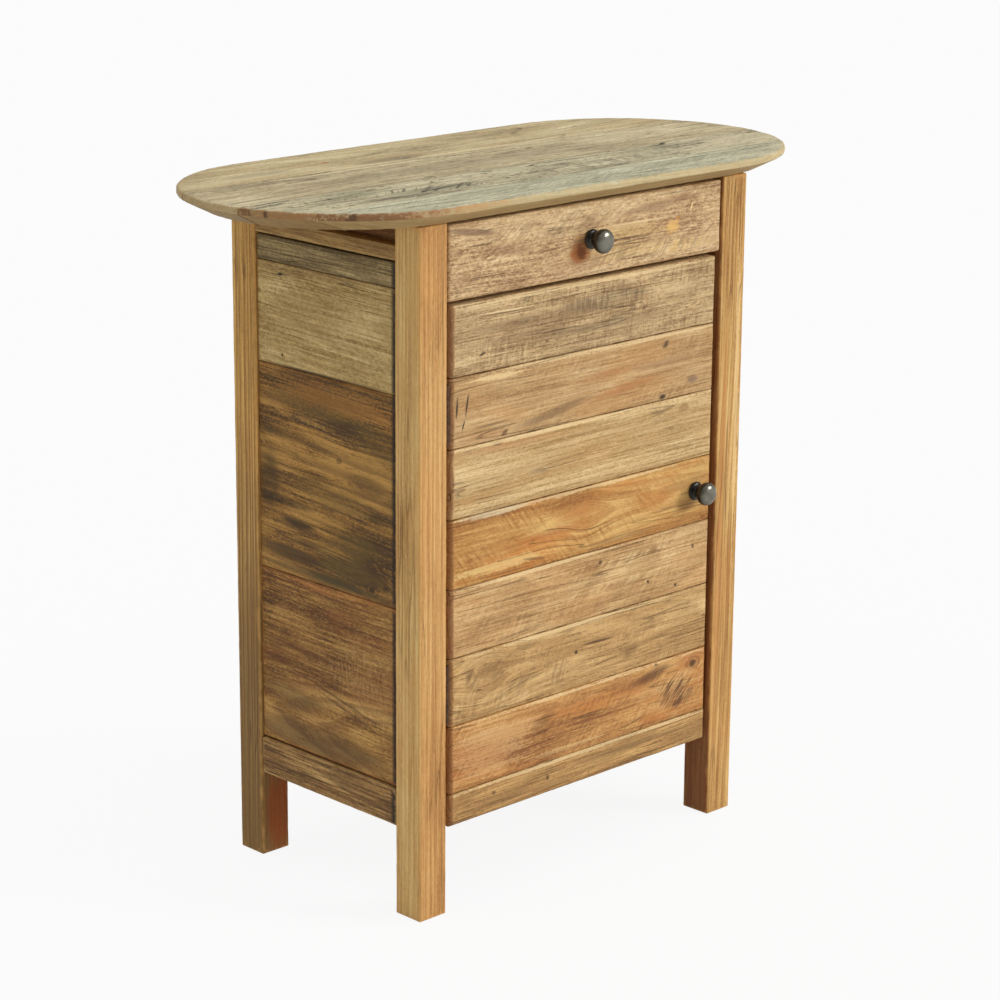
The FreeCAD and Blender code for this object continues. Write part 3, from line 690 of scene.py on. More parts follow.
    def _dashes(self, colour: Socket) -> Socket:
        """Short dark pores and pale flecks along the grain.

        Args:
            colour: what they lie on.

        Returns:
            The colour with them.
        """
        n, wood = self.nodes, self.wood
        grain = self._noise(self.lane, self.DASHES, wood.coarse)
        dark = n.times(n.step(grain, *self.PORE_STEP), wood.pores)
        colour = n.blend(dark, colour, UMBER.linear())
        pale = n.times(n.step(grain, *self.FLECK_STEP), wood.flecks)
        return n.blend(pale, colour, wood.light.linear())

    def _saw_marks(self, colour: Socket) -> Socket:
        """Short slanting bands that an old saw left, in patches.

        Args:
            colour: what they lie on.

        Returns:
            The colour with them.
        """
        n, wood, saw = self.nodes, self.wood, self.SAW_BANDS
        self.bands = None
        if not wood.saw:
            return colour
        slant = n.weigh(self.across, wood.saw_slant, self.along)
        stretch = (saw.along, saw.across / wood.coarse, saw.across)
        bands = n.noise(self._swept(slant, self.across), stretch, saw.detail)
        patch = n.step(self._noise(self.place, self.SAWN), *self.SAWN_STEP)
        self.bands = n.times(patch, bands)
        for step, tone in ((self.BRIGHT_BAND, wood.light), (self.DULL_BAND, wood.dark)):
            colour = n.blend(n.times(patch, n.step(bands, *step), wood.saw), colour, tone.linear())
        return colour

    def _cover(self, mark: Mark) -> Socket:
        """Where a mark lies.

        Args:
            mark: the mark.

        Returns:
            From 0 outside it to 1 in its middle.
        """
        n = self.nodes
        beside, above = self._from(mark.along, mark.across)
        if mark.turn:
            beside, above = n.turned(beside, above, mark.turn)
        long = n.math("DIVIDE", beside, mark.length / 2 * MM)
        high = n.math("DIVIDE", above, mark.width / 2 * MM)
        reach = n.squares(long, high)
        if mark.ragged:
            torn = self._swing(self.strokes, self.hairs, self.grit, self.fibres)
            reach = n.weigh(torn, self.MARK_TEAR * mark.ragged, reach)
        cover = n.step(reach, *self.MARK_STEP)
        if mark.pitch:
            waves = 1 / (mark.pitch * MM)
            leaning = n.weigh(above, -mark.lean, beside)
            rows = self._noise(self._swept(leaning, above), Streak(waves, waves / self.ROW_LENGTH, 1.0))
            cover = n.times(cover, n.step(rows, *self.ROW_STEP))
        return cover

    def _marks(self, colour: Socket) -> Socket:
        """Stains, worn patches and scratches at their places.

        Args:
            colour: what they lie on.

        Returns:
            The colour with them.
        """
        n = self.nodes
        kinds = {Spread.COVER: "MIX", Spread.LIFT: "DIVIDE"}
        for mark in self.wood.marks:
            if mark.spread in kinds:
                amount = n.times(self._cover(mark), mark.strength)
                colour = n.blend(amount, colour, mark.tone.linear(), kinds[mark.spread])
        return colour

    def _knots(self, colour: Socket) -> Socket:
        """Knots with a dark rim and a dark heart.

        Args:
            colour: what they lie on.

        Returns:
            The colour with them.
        """
        n = self.nodes
        for knot, reach in zip(self.wood.knots, self.reaches):
            torn = self._swing(self.hairs, self.grit, self.strokes)
            uneven = n.weigh(torn, self.KNOT_TEAR, reach)
            heart = n.step(uneven, *self.KNOT_HEART)
            rim = n.step(n.math("ABSOLUTE", n.math("SUBTRACT", uneven, self.KNOT_RIM_AT)), *self.KNOT_RIM)
            core = n.math("MAXIMUM", heart, n.times(rim, self.KNOT_RIM_SHARE))
            colour = n.blend(n.times(core, knot.strength), colour, knot.tone.linear())
        return colour

    def _cracks(self, colour: Socket) -> Socket:
        """Thin drying cracks along the grain, which end before a worn edge.

        Args:
            colour: what they lie on.

        Returns:
            The colour with them.
        """
        n, wood = self.nodes, self.wood
        self.splits = None
        if not wood.checks:
            return colour
        ridge = n.math("ABSOLUTE", self._swing(self._noise(self.lane, self.CRACKS, wood.coarse)))
        patch = self._noise(n.vector("ADD", self.place, self.CRACK_SHIFT), self.CRACKED)
        where = n.times(n.step(patch, *self.CRACKED_STEP), n.step(self.worn, *self.CRACK_END))
        self.splits = n.times(n.step(ridge, *self.CRACK_STEP), where)
        return n.blend(n.times(self.splits, wood.checks), colour, SOOT.linear())

    def _wear(self, colour: Socket) -> Socket:
        """Rubbed edges, where the surface is marked as worn, and the bevel below the top, painted darker as
        shade.

        Args:
            colour: what they lie on.

        Returns:
            The colour with them.
        """
        n, wood, worn = self.nodes, self.wood, self.worn
        uneven = self._swing(self._noise(self.place, self.RUBBED))
        cover = n.step(n.weigh(uneven, self.RUB_TEAR, worn), *self.RUB_STEP)
        colour = n.blend(n.times(cover, wood.wear), colour, wood.edge.linear())
        # The bevel below the top's nose takes the under tone: painted shade.
        streaked = n.times(n.step(self.fibres, *self.STREAK_STEP), self.BEVEL_STREAKS)
        shaded = n.blend(streaked, wood.under.linear(), wood.edge.linear())
        colour = n.blend(n.times(n.step(worn, *self.BEVEL_STEP), self.BEVEL_COVER), colour, shaded)
        nose = n.times(cover, n.step(worn, *self.NOSE_STEP))
        for mark in wood.marks:
            if mark.spread is Spread.RIM:
                amount = n.times(self._cover(mark), nose, mark.strength)
                colour = n.blend(amount, colour, mark.tone.linear())
        return colour

    def _surface(self, colour: Socket) -> None:
        """Send colour, roughness and relief to the shader.

        Args:
            colour: the finished colour.
        """
        n = self.nodes
        roughness = n.weigh(self.fibres, self.ROUGH_SPAN, self.ROUGH_LOW)
        n.feed(n.shader.inputs["Base Color"], colour)
        n.feed(n.shader.inputs["Roughness"], roughness)
        n.shader.inputs["Specular IOR Level"].default_value = self.SHINE
        layers = ((self.rings, self.RING_RELIEF), (self.hairs, self.HAIR_RELIEF),
                  (self.strokes, self.STROKE_RELIEF), (self.grit, self.GRIT_RELIEF),
                  (self.scuffs, self.SCUFF_RELIEF), (self.bands, self.BAND_RELIEF),
                  (self.splits, self.CRACK_RELIEF))
        height = self.fibres
        for layer, weight in layers:
            if layer is not None:
                height = n.weigh(layer, weight, height)
        n.relief(height, self.RELIEF_DEPTH, self.RELIEF_STRENGTH)


@dataclass(frozen=True)
class Metal:
    """Cast or rolled metal with mottled patina, which hands have rubbed off where it is marked as worn."""

    CLOUDS: ClassVar[tuple[float, float]] = (4.0, 0.6)
    GRAIN: ClassVar[tuple[float, float]] = (2.0, 0.6)
    GRAIN_FINENESS: ClassVar[float] = 6.0
    GRAIN_DEPTH: ClassVar[float] = 0.15 * MM
    GRAIN_STRENGTH: ClassVar[float] = 0.3
    PATINA_STEP: ClassVar[tuple[float, float]] = (0.42, 0.62)
    PATINA_ROUGHNESS: ClassVar[float] = 0.16
    PATINA_LEFT: ClassVar[float] = -0.35

    body: Colour
    patina: Colour
    rubbed: Colour
    metallic: float
    roughness: float
    mottle: float

    def material(self, name: str) -> bpy.types.Material:
        """Mottled metal, duller where the patina lies.

        Args:
            name: the material's name.

        Returns:
            The material.
        """
        n = Nodes(name)
        place = n.add("ShaderNodeTexCoord").outputs["Object"]
        cloud = n.noise(place, (self.mottle,) * 3, *self.CLOUDS)
        grain = n.noise(place, (self.GRAIN_FINENESS * self.mottle,) * 3, *self.GRAIN)
        cover = n.step(cloud, *self.PATINA_STEP)
        worn = n.add("ShaderNodeAttribute", attribute_name=WEAR).outputs["Fac"]
        bright = n.times(worn, n.weigh(cover, self.PATINA_LEFT, 1.0))
        mottled = n.blend(cover, self.body.linear(), self.patina.linear())
        n.feed(n.shader.inputs["Base Color"], n.blend(bright, mottled, self.rubbed.linear()))
        n.shader.inputs["Metallic"].default_value = self.metallic
        n.feed(n.shader.inputs["Roughness"], n.weigh(cover, self.PATINA_ROUGHNESS, self.roughness))
        n.relief(grain, self.GRAIN_DEPTH, self.GRAIN_STRENGTH)
        return n.material


@dataclass(frozen=True)
class Plastic:
    """Moulded plastic with a fine texture."""

    GRAIN_WAVES: ClassVar[float] = 900.0
    GRAIN_DEPTH: ClassVar[float] = 0.1 * MM
    GRAIN_STRENGTH: ClassVar[float] = 0.4
    ROUGHNESS: ClassVar[float] = 0.55

    body: Colour
    shade: Colour

    def material(self, name: str) -> bpy.types.Material:
        """Two close tones and a fine moulded grain.

        Args:
            name: the material's name.

        Returns:
            The material.
        """
        n = Nodes(name)
        place = n.add("ShaderNodeTexCoord").outputs["Object"]
        grain = n.noise(place, (self.GRAIN_WAVES,) * 3)
        n.feed(n.shader.inputs["Base Color"], n.blend(grain, self.shade.linear(), self.body.linear()))
        n.shader.inputs["Roughness"].default_value = self.ROUGHNESS
        n.relief(grain, self.GRAIN_DEPTH, self.GRAIN_STRENGTH)
        return n.material


def pick(piece: Piece) -> None:
    """Select one piece alone and make it active.

    Args:
        piece: the piece.
    """
    bpy.ops.object.select_all(action="DESELECT")
    piece.select_set(True)
    bpy.context.view_layer.objects.active = piece


class Editing:
    """Edit mode on one piece, which starts with nothing selected."""

    def __init__(self, piece: Piece, mode: str = "EDGE") -> None:
        """Remember the piece and what is to be picked in it."""
        self.piece = piece
        self.mode = mode

    def __enter__(self) -> "Editing":
        """Go into edit mode.

        Returns:
            The bench that the piece is edited on.
        """
        pick(self.piece)
        bpy.ops.object.mode_set(mode="EDIT")
        bpy.ops.mesh.select_mode(type=self.mode)
        bpy.ops.mesh.select_all(action="DESELECT")
        return self

    def __exit__(self, *_: object) -> None:
        """Go back to object mode."""
        bpy.ops.object.mode_set(mode="OBJECT")

    def select(self, test: Callable[..., bool]) -> int:
        """Select the vertices, edges or faces that pass a test.

        Args:
            test: takes one element and says whether it is wanted.

        Returns:
            How many were selected.
        """
        mesh = bmesh.from_edit_mesh(self.piece.data)
        kinds = {"VERT": mesh.verts, "EDGE": mesh.edges, "FACE": mesh.faces}
        bpy.ops.mesh.select_all(action="DESELECT")
        wanted = [element for element in kinds[self.mode] if test(element)]
        for element in wanted:
            element.select_set(True)
        mesh.select_flush_mode()
        bmesh.update_edit_mesh(self.piece.data)
        return len(wanted)

    def bevel(self, test: Callable[..., bool], width: float, segments: int) -> None:
        """Round the edges that pass a test.

        Args:
            test: takes one edge and says whether it is wanted.
            width: how far the rounding reaches.
            segments: how many faces it has.
        """
        if self.select(test):
            bpy.ops.mesh.bevel(offset=width, offset_type="OFFSET", segments=segments, profile=0.5,
                               affect="EDGES", clamp_overlap=True)

    def slice(self, axis: int, place: float) -> None:
        """Cut the whole mesh by a plane, and keep both parts.

        Args:
            axis: the axis that the plane is square to.
            place: where it crosses that axis.
        """
        bpy.ops.mesh.select_all(action="SELECT")
        normal = Vector((0, 0, 0))
        normal[axis] = 1.0
        bpy.ops.mesh.bisect(plane_co=normal * place, plane_no=normal)


def is_sharp(edge: bmesh.types.BMEdge) -> bool:
    """Whether two faces meet at a clear angle."""
    return len(edge.link_faces) == 2 and edge.calc_face_angle(0.0) > SHARP


def apply(piece: Piece, kind: str, **settings: object) -> None:
    """Add a modifier and apply it at once.

    Args:
        piece: what is modified.
        kind: the modifier's type.
        settings: its properties.
    """
    pick(piece)
    modifier = piece.modifiers.new(kind.lower(), kind)
    for name, setting in settings.items():
        setattr(modifier, name, setting)
    bpy.ops.object.modifier_apply(modifier=modifier.name)


def erode(piece: Piece, size: float, depth: float, group: str = "") -> None:
    """Wear a surface inwards by soft hollows.

    Args:
        piece: what is worn.
        size: how wide the hollows are.
        depth: the deepest hollow.
        group: the vertex group that limits it, or nothing.
    """
    texture = bpy.data.textures.new(f"{piece.name}_hollows", "CLOUDS")
    texture.noise_scale = size
    texture.noise_depth = HOLLOW_OCTAVES
    apply(piece, "DISPLACE", texture=texture, texture_coords="LOCAL", strength=depth, mid_level=1.0,
          vertex_group=group)
    bpy.data.textures.remove(texture)


def smooth(piece: Piece, angle: float = 40.0) -> None:
    """Shade a piece smooth but for its sharp edges."""
    pick(piece)
    bpy.ops.object.shade_smooth_by_angle(angle=math.radians(angle))


def settle(piece: Piece, material: bpy.types.Material, body: Body,
           nodes: Iterable[str]) -> Piece:
    """Dress a finished piece, let it stand for its nodes and ride on its body.

    Args:
        piece: the finished mesh.
        material: its finish.
        body: what it rides on.
        nodes: the nodes that it stands for.

    Returns:
        The same piece.
    """
    piece.data.materials.clear()
    piece.data.materials.append(material)
    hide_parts(*nodes)
    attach(piece, body.value)
    log.info("%s: %d faces on %s", piece.name, len(piece.data.polygons), body.value)
    return piece


@dataclass
class Timber:
    """A board or bar: a block that is rounded, divided and worn.

    Lengths are millimetres, apart from the corners. Equal blocks are modelled once and copied,
    and each copy is worn by itself.
    """

    BROAD_STEPS: ClassVar[int] = 4
    EDGE_STEPS: ClassVar[int] = 2
    STRAIGHT: ClassVar[float] = 0.999
    LONG: ClassVar[float] = 1 / 3
    NICK_REACH: ClassVar[float] = 3.0
    blocks: ClassVar[dict[tuple, tuple[bpy.types.Mesh, Vector]]] = {}

    name: str
    low: Vector
    high: Vector
    cell: float = 6.0
    edge: float = 0.8
    broad: float = 0.0
    broad_edges: tuple[tuple[Face, Face], ...] = ()
    hollow_size: float = 35.0
    hollow: float = 0.5
    nick_size: float = 7.0
    nick: float = 0.7
    worn: float = 6.0

    def _on(self, point: Vector, face: Face) -> bool:
        """Whether a point lies on one side of the block."""
        axis, end = face.value
        return abs(point[axis] - (self.high if end else self.low)[axis]) < SAME

    def _is_broad(self, edge: bmesh.types.BMEdge) -> bool:
        """Whether an edge is one of those with the wide rounding."""
        return any(all(self._on(v.co, face) for v in edge.verts for face in pair)
                   for pair in self.broad_edges)

    def _divide(self, bench: Editing, axis: int) -> None:
        """Divide the long edges of one axis into cells.

        Args:
            bench: the block in edit mode.
            axis: the axis that the edges run along.
        """
        length = self.high[axis] - self.low[axis]
        cuts = round(length / (self.cell * MM)) - 1
        if cuts < 1:
            return

        def runs_along(edge: bmesh.types.BMEdge) -> bool:
            """Whether an edge is long and lies on the axis."""
            span = edge.verts[1].co - edge.verts[0].co
            return abs(span[axis]) > max(self.STRAIGHT * span.length, self.LONG * length)

        bench.select(runs_along)
        bpy.ops.mesh.subdivide(number_cuts=cuts)

    def _edge_gap(self, point: Vector) -> float:
        """Distance from a point to the block's nearest edge."""
        gaps = sorted(min(point[i] - self.low[i], self.high[i] - point[i]) for i in range(3))
        return math.hypot(max(gaps[0], 0.0), max(gaps[1], 0.0))

    def _wear_down(self, piece: Piece) -> None:
        """Hollow the faces, nick the edges, and mark what is worn.

        Args:
            piece: the block in its place.
        """
        group = piece.vertex_groups.new(name=EDGE_GROUP)
        for vertex in piece.data.vertices:
            near = 1.0 - self._edge_gap(vertex.co) / (self.NICK_REACH * MM)
            if near > 0:
                group.add([vertex.index], near, "REPLACE")
        erode(piece, self.hollow_size * MM, self.hollow * MM)
        erode(piece, self.nick_size * MM, self.nick * MM, EDGE_GROUP)
        piece.vertex_groups.clear()
        layer = piece.data.attributes.new(WEAR, "FLOAT", "POINT")
        for vertex, item in zip(piece.data.vertices, layer.data):
            item.value = max(0.0, 1.0 - self._edge_gap(vertex.co) / (self.worn * MM))

    def _model(self) -> bpy.types.Mesh:
        """Model the block: a cube at its size, rounded and divided.

        Returns:
            The block's mesh.
        """
        bpy.ops.object.select_all(action="DESELECT")
        middle, size = (self.low + self.high) / 2, self.high - self.low
        bpy.ops.mesh.primitive_cube_add(size=1, location=middle, scale=size)
        piece = bpy.context.object
        bpy.ops.object.transform_apply(location=True, rotation=True, scale=True)
        with Editing(piece) as bench:
            bench.bevel(self._is_broad, self.broad * MM, self.BROAD_STEPS)
            bench.bevel(is_sharp, self.edge * MM, self.EDGE_STEPS)
            for axis in range(3):
                self._divide(bench, axis)
        mesh = piece.data
        bpy.data.objects.remove(piece)
        return mesh

    def build(self) -> Piece:
        """Take the block of this size to its place and wear it.

        Returns:
            The piece, with its place in its mesh.
        """
        size = tuple(round(side / SAME) for side in self.high - self.low)
        kind = (size, self.cell, self.edge, self.broad, self.broad_edges)
        if kind not in self.blocks:
            self.blocks[kind] = (self._model(), self.low.copy())
        model, first_low = self.blocks[kind]
        piece = bpy.data.objects.new(self.name, model.copy())
        bpy.context.scene.collection.objects.link(piece)
        piece.data.transform(Matrix.Translation(self.low - first_low))
        self._wear_down(piece)
        smooth(piece)
        return piece


@dataclass
class OvalTop:
    """The oval top: four boards sawn from one blank with a rounded nose and an under-bevel.

    Lengths are millimetres.
    """

    # Wear value of the bevel, which also lays painted shade on it.
    BEVEL_WEAR_AND_SHADE: ClassVar[float] = 2.0

    nodes: tuple[str, ...] = ("top_board_1", "top_board_2", "top_board_3", "top_board_4")
    nose: float = 8.0
    bevel_run: float = 26.0
    upper_round: float = 3.0
    upper_steps: int = 5
    lower_round: float = 1.6
    lower_steps: int = 3
    seam_round: float = 0.4
    smooth_angle: float = 35.0
    circle_points: int = 144
    cell: float = 9.0
    hollow_size: float = 45.0
    hollow: float = 0.6
    nick_size: float = 9.0
    nick: float = 0.8
    worn: float = 8.0
    woods: tuple[Wood, ...] = (
        Wood(Colour(132, 128, 104), Colour(194, 189, 157), Colour(234, 228, 194), Colour(160, 148, 114),
             edge=Colour(202, 176, 124), under=Colour(158, 126, 74), tint=Colour(184, 180, 148), seed=1.0,
             rings=0.15, tinting=0.5, wear=0.75, fibres=0.9, hairs=1.2, pores=0.4, checks=0.3, coarse=2.4,
             scuffs=0.5,
             marks=(Mark(60, 4, 560, 34, Colour(126, 119, 93), 0.4, ragged=0.6, pitch=4.2, lean=1.6),
                    Mark(320, 6, 200, 110, Colour(228, 214, 180), 0.5, ragged=1.2),
                    Mark(-272, 0, 230, 400, Colour(156, 102, 56), 0.75, ragged=1.0, spread=Spread.RIM),
                    Mark(-296, 0, 120, 400, Colour(112, 68, 38), 0.55, ragged=2.4, spread=Spread.RIM),
                    Mark(-316, 0, 9, 400, SOOT, 0.5, ragged=1.8, spread=Spread.RIM),
                    Mark(-232, 0, 30, 400, Colour(150, 82, 42), 0.5, ragged=1.8, spread=Spread.RIM),
                    Mark(-190, -30, 120, 14, Colour(196, 146, 90), 0.6, spread=Spread.RIM))),
        Wood(Colour(118, 112, 88), Colour(194, 181, 145), Colour(230, 219, 180), Colour(158, 140, 104),
             edge=Colour(182, 148, 96), under=Colour(138, 108, 62), tint=Colour(170, 170, 136), seed=2.0,
             rings=0.2, tinting=0.45, wear=0.8, fibres=0.9, hairs=1.4, pores=0.75, checks=0.9, saw=0.2,
             saw_slant=0.8, coarse=2.4, scuffs=0.6,
             marks=(Mark(300, 0, 220, 90, Colour(224, 208, 170), 0.4, ragged=1.4),
                    Mark(-230, 2, 150, 20, SOOT, 0.7, ragged=1.5, pitch=6.0, lean=0.9),
                    Mark(-150, -14, 130, 24, SOOT, 0.85, ragged=1.5, pitch=7.0, lean=1.2),
                    Mark(-150, -10, 110, 18, Colour(90, 84, 66), 0.5, ragged=1.5),
                    Mark(-278, 14, 8, 9, SOOT, 0.8, ragged=0.3),
                    Mark(60, -6, 300, 30, SOOT, 0.45, ragged=1.6, pitch=8.0),
                    Mark(40, 10, 46, 16, Colour(84, 80, 66), 0.6, ragged=1.2),
                    Mark(0, 37, 640, 5, UMBER, 0.4),
                    Mark(-350, 0, 90, 400, Colour(158, 108, 62), 0.7, ragged=1.2, spread=Spread.RIM),
                    Mark(-376, 26, 16, 30, Colour(100, 66, 40), 0.6, ragged=1.6, spread=Spread.RIM),
                    Mark(-367, 6, 7, 8, SOOT, 0.7, spread=Spread.RIM))),
        Wood(Colour(138, 122, 92), Colour(200, 182, 142), Colour(232, 218, 176), Colour(162, 137, 96),
             edge=Colour(182, 152, 100), under=Colour(138, 110, 66), tint=Colour(188, 172, 132), seed=3.0,
             rings=0.25, tinting=0.35, wear=0.75, fibres=0.8, hairs=1.2, pores=0.4, checks=0.45, coarse=2.4,
             scuffs=0.5,
             marks=(Mark(-150, 42, 460, 9, Colour(236, 220, 174), 0.6, ragged=0.6),
                    Mark(-40, -10, 420, 40, ASH, 0.35), Mark(-222, -46, 260, 5, SOOT, 0.5),
                    Mark(90, 20, 12, 9, SOOT, 0.7))),
        Wood(Colour(146, 128, 94), Colour(202, 183, 138), Colour(234, 220, 174), Colour(166, 134, 90),
             edge=Colour(186, 160, 112), under=Colour(150, 120, 76), tint=Colour(208, 176, 122), seed=4.0,
             rings=0.3, tinting=0.4, wear=0.7, fibres=0.7, hairs=0.6, pores=0.2, checks=0.3, coarse=2.4,
             scuffs=0.3,
             knots=(Knot(-56, -44, 8, Colour(104, 98, 84), 0.6),),
             marks=(Mark(60, -49, 720, 8, Colour(238, 218, 170), 0.65, ragged=0.6),
                    Mark(-70, -38, 110, 26, Colour(132, 118, 90), 0.6),
                    Mark(-138, -8, 12, 8, RUST, 0.75, ragged=0.4),
                    Mark(180, 24, 9, 12, SOOT, 0.75, ragged=0.4), Mark(-240, -20, 90, 18, ASH, 0.5))),
    )

    def __post_init__(self) -> None:
        """Take the outline from the nodes."""
        boxes = [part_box(node) for node in self.nodes]
        self.low = Vector(min(low[i] for low, _ in boxes) for i in range(3))
        self.high = Vector(max(high[i] for _, high in boxes) for i in range(3))
        self.seams = [high.y for _, high in boxes[:-1]]
        self.radius = (self.high.y - self.low.y) / 2
        self.reach = (self.high.x - self.low.x) / 2 - self.radius

    def _rim_gap(self, point: Vector) -> float:
        """Distance from a point in to the rim."""
        past = max(abs(point.x) - self.reach, 0.0)
        return self.radius - math.hypot(past, point.y)

    def _nearness(self, point: Vector) -> float:
        """How worn a point is: most on the bevel below, which also takes the painted shade, less and less
        away from the rim above.

        Args:
            point: a point of the top.

        Returns:
            From 0 to 1 above, and the bevel's own value below.
        """
        if point.z < self.high.z - self.nose * MM:
            return self.BEVEL_WEAR_AND_SHADE
        return max(0.0, 1.0 - self._rim_gap(point) / (self.worn * MM))

    def _blank(self) -> Piece:
        """The whole top: a circle pulled apart, raised, bevelled below and rounded.

        Returns:
            The blank, to be sawn.
        """
        bpy.ops.object.select_all(action="DESELECT")
        half_step = math.pi / self.circle_points
        bpy.ops.mesh.primitive_circle_add(vertices=self.circle_points, radius=self.radius, fill_type="NGON",
                                          location=(0, 0, self.high.z), rotation=(0, 0, half_step))
        piece = bpy.context.object
        piece.name = "top_blank"
        bpy.ops.object.transform_apply(location=True, rotation=True, scale=True)
        with Editing(piece, "VERT") as bench:
            for sign in (-1, 1):
                bench.select(lambda vertex: vertex.co.x * sign > 0)
                bpy.ops.transform.translate(value=(sign * self.reach, 0, 0))
        nose_level = self.high.z - self.nose * MM
        rise = nose_level - self.low.z
        with Editing(piece, "FACE") as bench:
            bpy.ops.mesh.select_all(action="SELECT")
            bpy.ops.mesh.extrude_region_move(TRANSFORM_OT_translate={"value": (0, 0, -self.nose * MM)})
            bpy.ops.mesh.select_all(action="SELECT")
            bpy.ops.mesh.normals_make_consistent(inside=False)
            bench.select(lambda face: abs(face.calc_center_median().z - nose_level) < SAME)
            bpy.ops.mesh.inset(thickness=self.bevel_run * MM, depth=rise, use_even_offset=True)
        with Editing(piece) as bench:
            bench.bevel(lambda edge: all(abs(v.co.z - self.high.z) < SAME for v in edge.verts),
                        self.upper_round * MM, self.upper_steps)
            bench.bevel(lambda edge: all(abs(v.co.z - nose_level) < SAME for v in edge.verts),
                        self.lower_round * MM, self.lower_steps)
        return piece

    def _board(self, blank: Piece, index: int) -> Piece:
        """Saw one board out of the blank and divide it.

        Args:
            blank: the whole top.
            index: which board, from the front.

        Returns:
            The board.
        """
        piece = blank.copy()
        piece.data = blank.data.copy()
        piece.name = f"top_plank_{index + 1}"
        bpy.context.scene.collection.objects.link(piece)
        sides = {}
        if index > 0:
            sides["clear_inner"] = self.seams[index - 1]
        if index < len(self.seams):
            sides["clear_outer"] = self.seams[index]
        with Editing(piece) as bench:
            for side, place in sides.items():
                bpy.ops.mesh.select_all(action="SELECT")
                bpy.ops.mesh.bisect(plane_co=(0, place, 0), plane_no=(0, 1, 0), use_fill=True,
                                    **{side: True})

            def on_seam(edge: bmesh.types.BMEdge) -> bool:
                """Whether an edge is a sharp one along a seam."""
                return is_sharp(edge) and any(
                    all(abs(v.co.y - seam) < SAME for v in edge.verts) for seam in sides.values())

            bench.bevel(on_seam, self.seam_round * MM, 1)
            for axis in (0, 1):
                length = self.high[axis] - self.low[axis]
                count = round(length / (self.cell * MM))
                for step in range(1, count):
                    bench.slice(axis, self.low[axis] + length * step / count)
        return piece

    def _wear_down(self, piece: Piece) -> None:
        """Hollow the faces, nick the rim and mark it as worn.

        Args:
            piece: one board of the top.
        """
        nearness = [self._nearness(vertex.co) for vertex in piece.data.vertices]
        group = piece.vertex_groups.new(name=EDGE_GROUP)
        for vertex, near in zip(piece.data.vertices, nearness):
            group.add([vertex.index], min(near, 1.0), "REPLACE")
        erode(piece, self.hollow_size * MM, self.hollow * MM)
        erode(piece, self.nick_size * MM, self.nick * MM, EDGE_GROUP)
        piece.vertex_groups.clear()
        layer = piece.data.attributes.new(WEAR, "FLOAT", "POINT")
        for item, near in zip(layer.data, nearness):
            item.value = near
        smooth(piece, self.smooth_angle)

    def build(self) -> None:
        """Model and dress the four boards."""
        blank = self._blank()
        for index, (node, wood) in enumerate(zip(self.nodes, self.woods)):
            low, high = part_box(node)
            piece = self._board(blank, index)
            self._wear_down(piece)
            finish = wood.material(f"{piece.name}_finish", low, high, Grain.TOP)
            settle(piece, finish, Body.CARCASS, [node])
        bpy.data.objects.remove(blank)


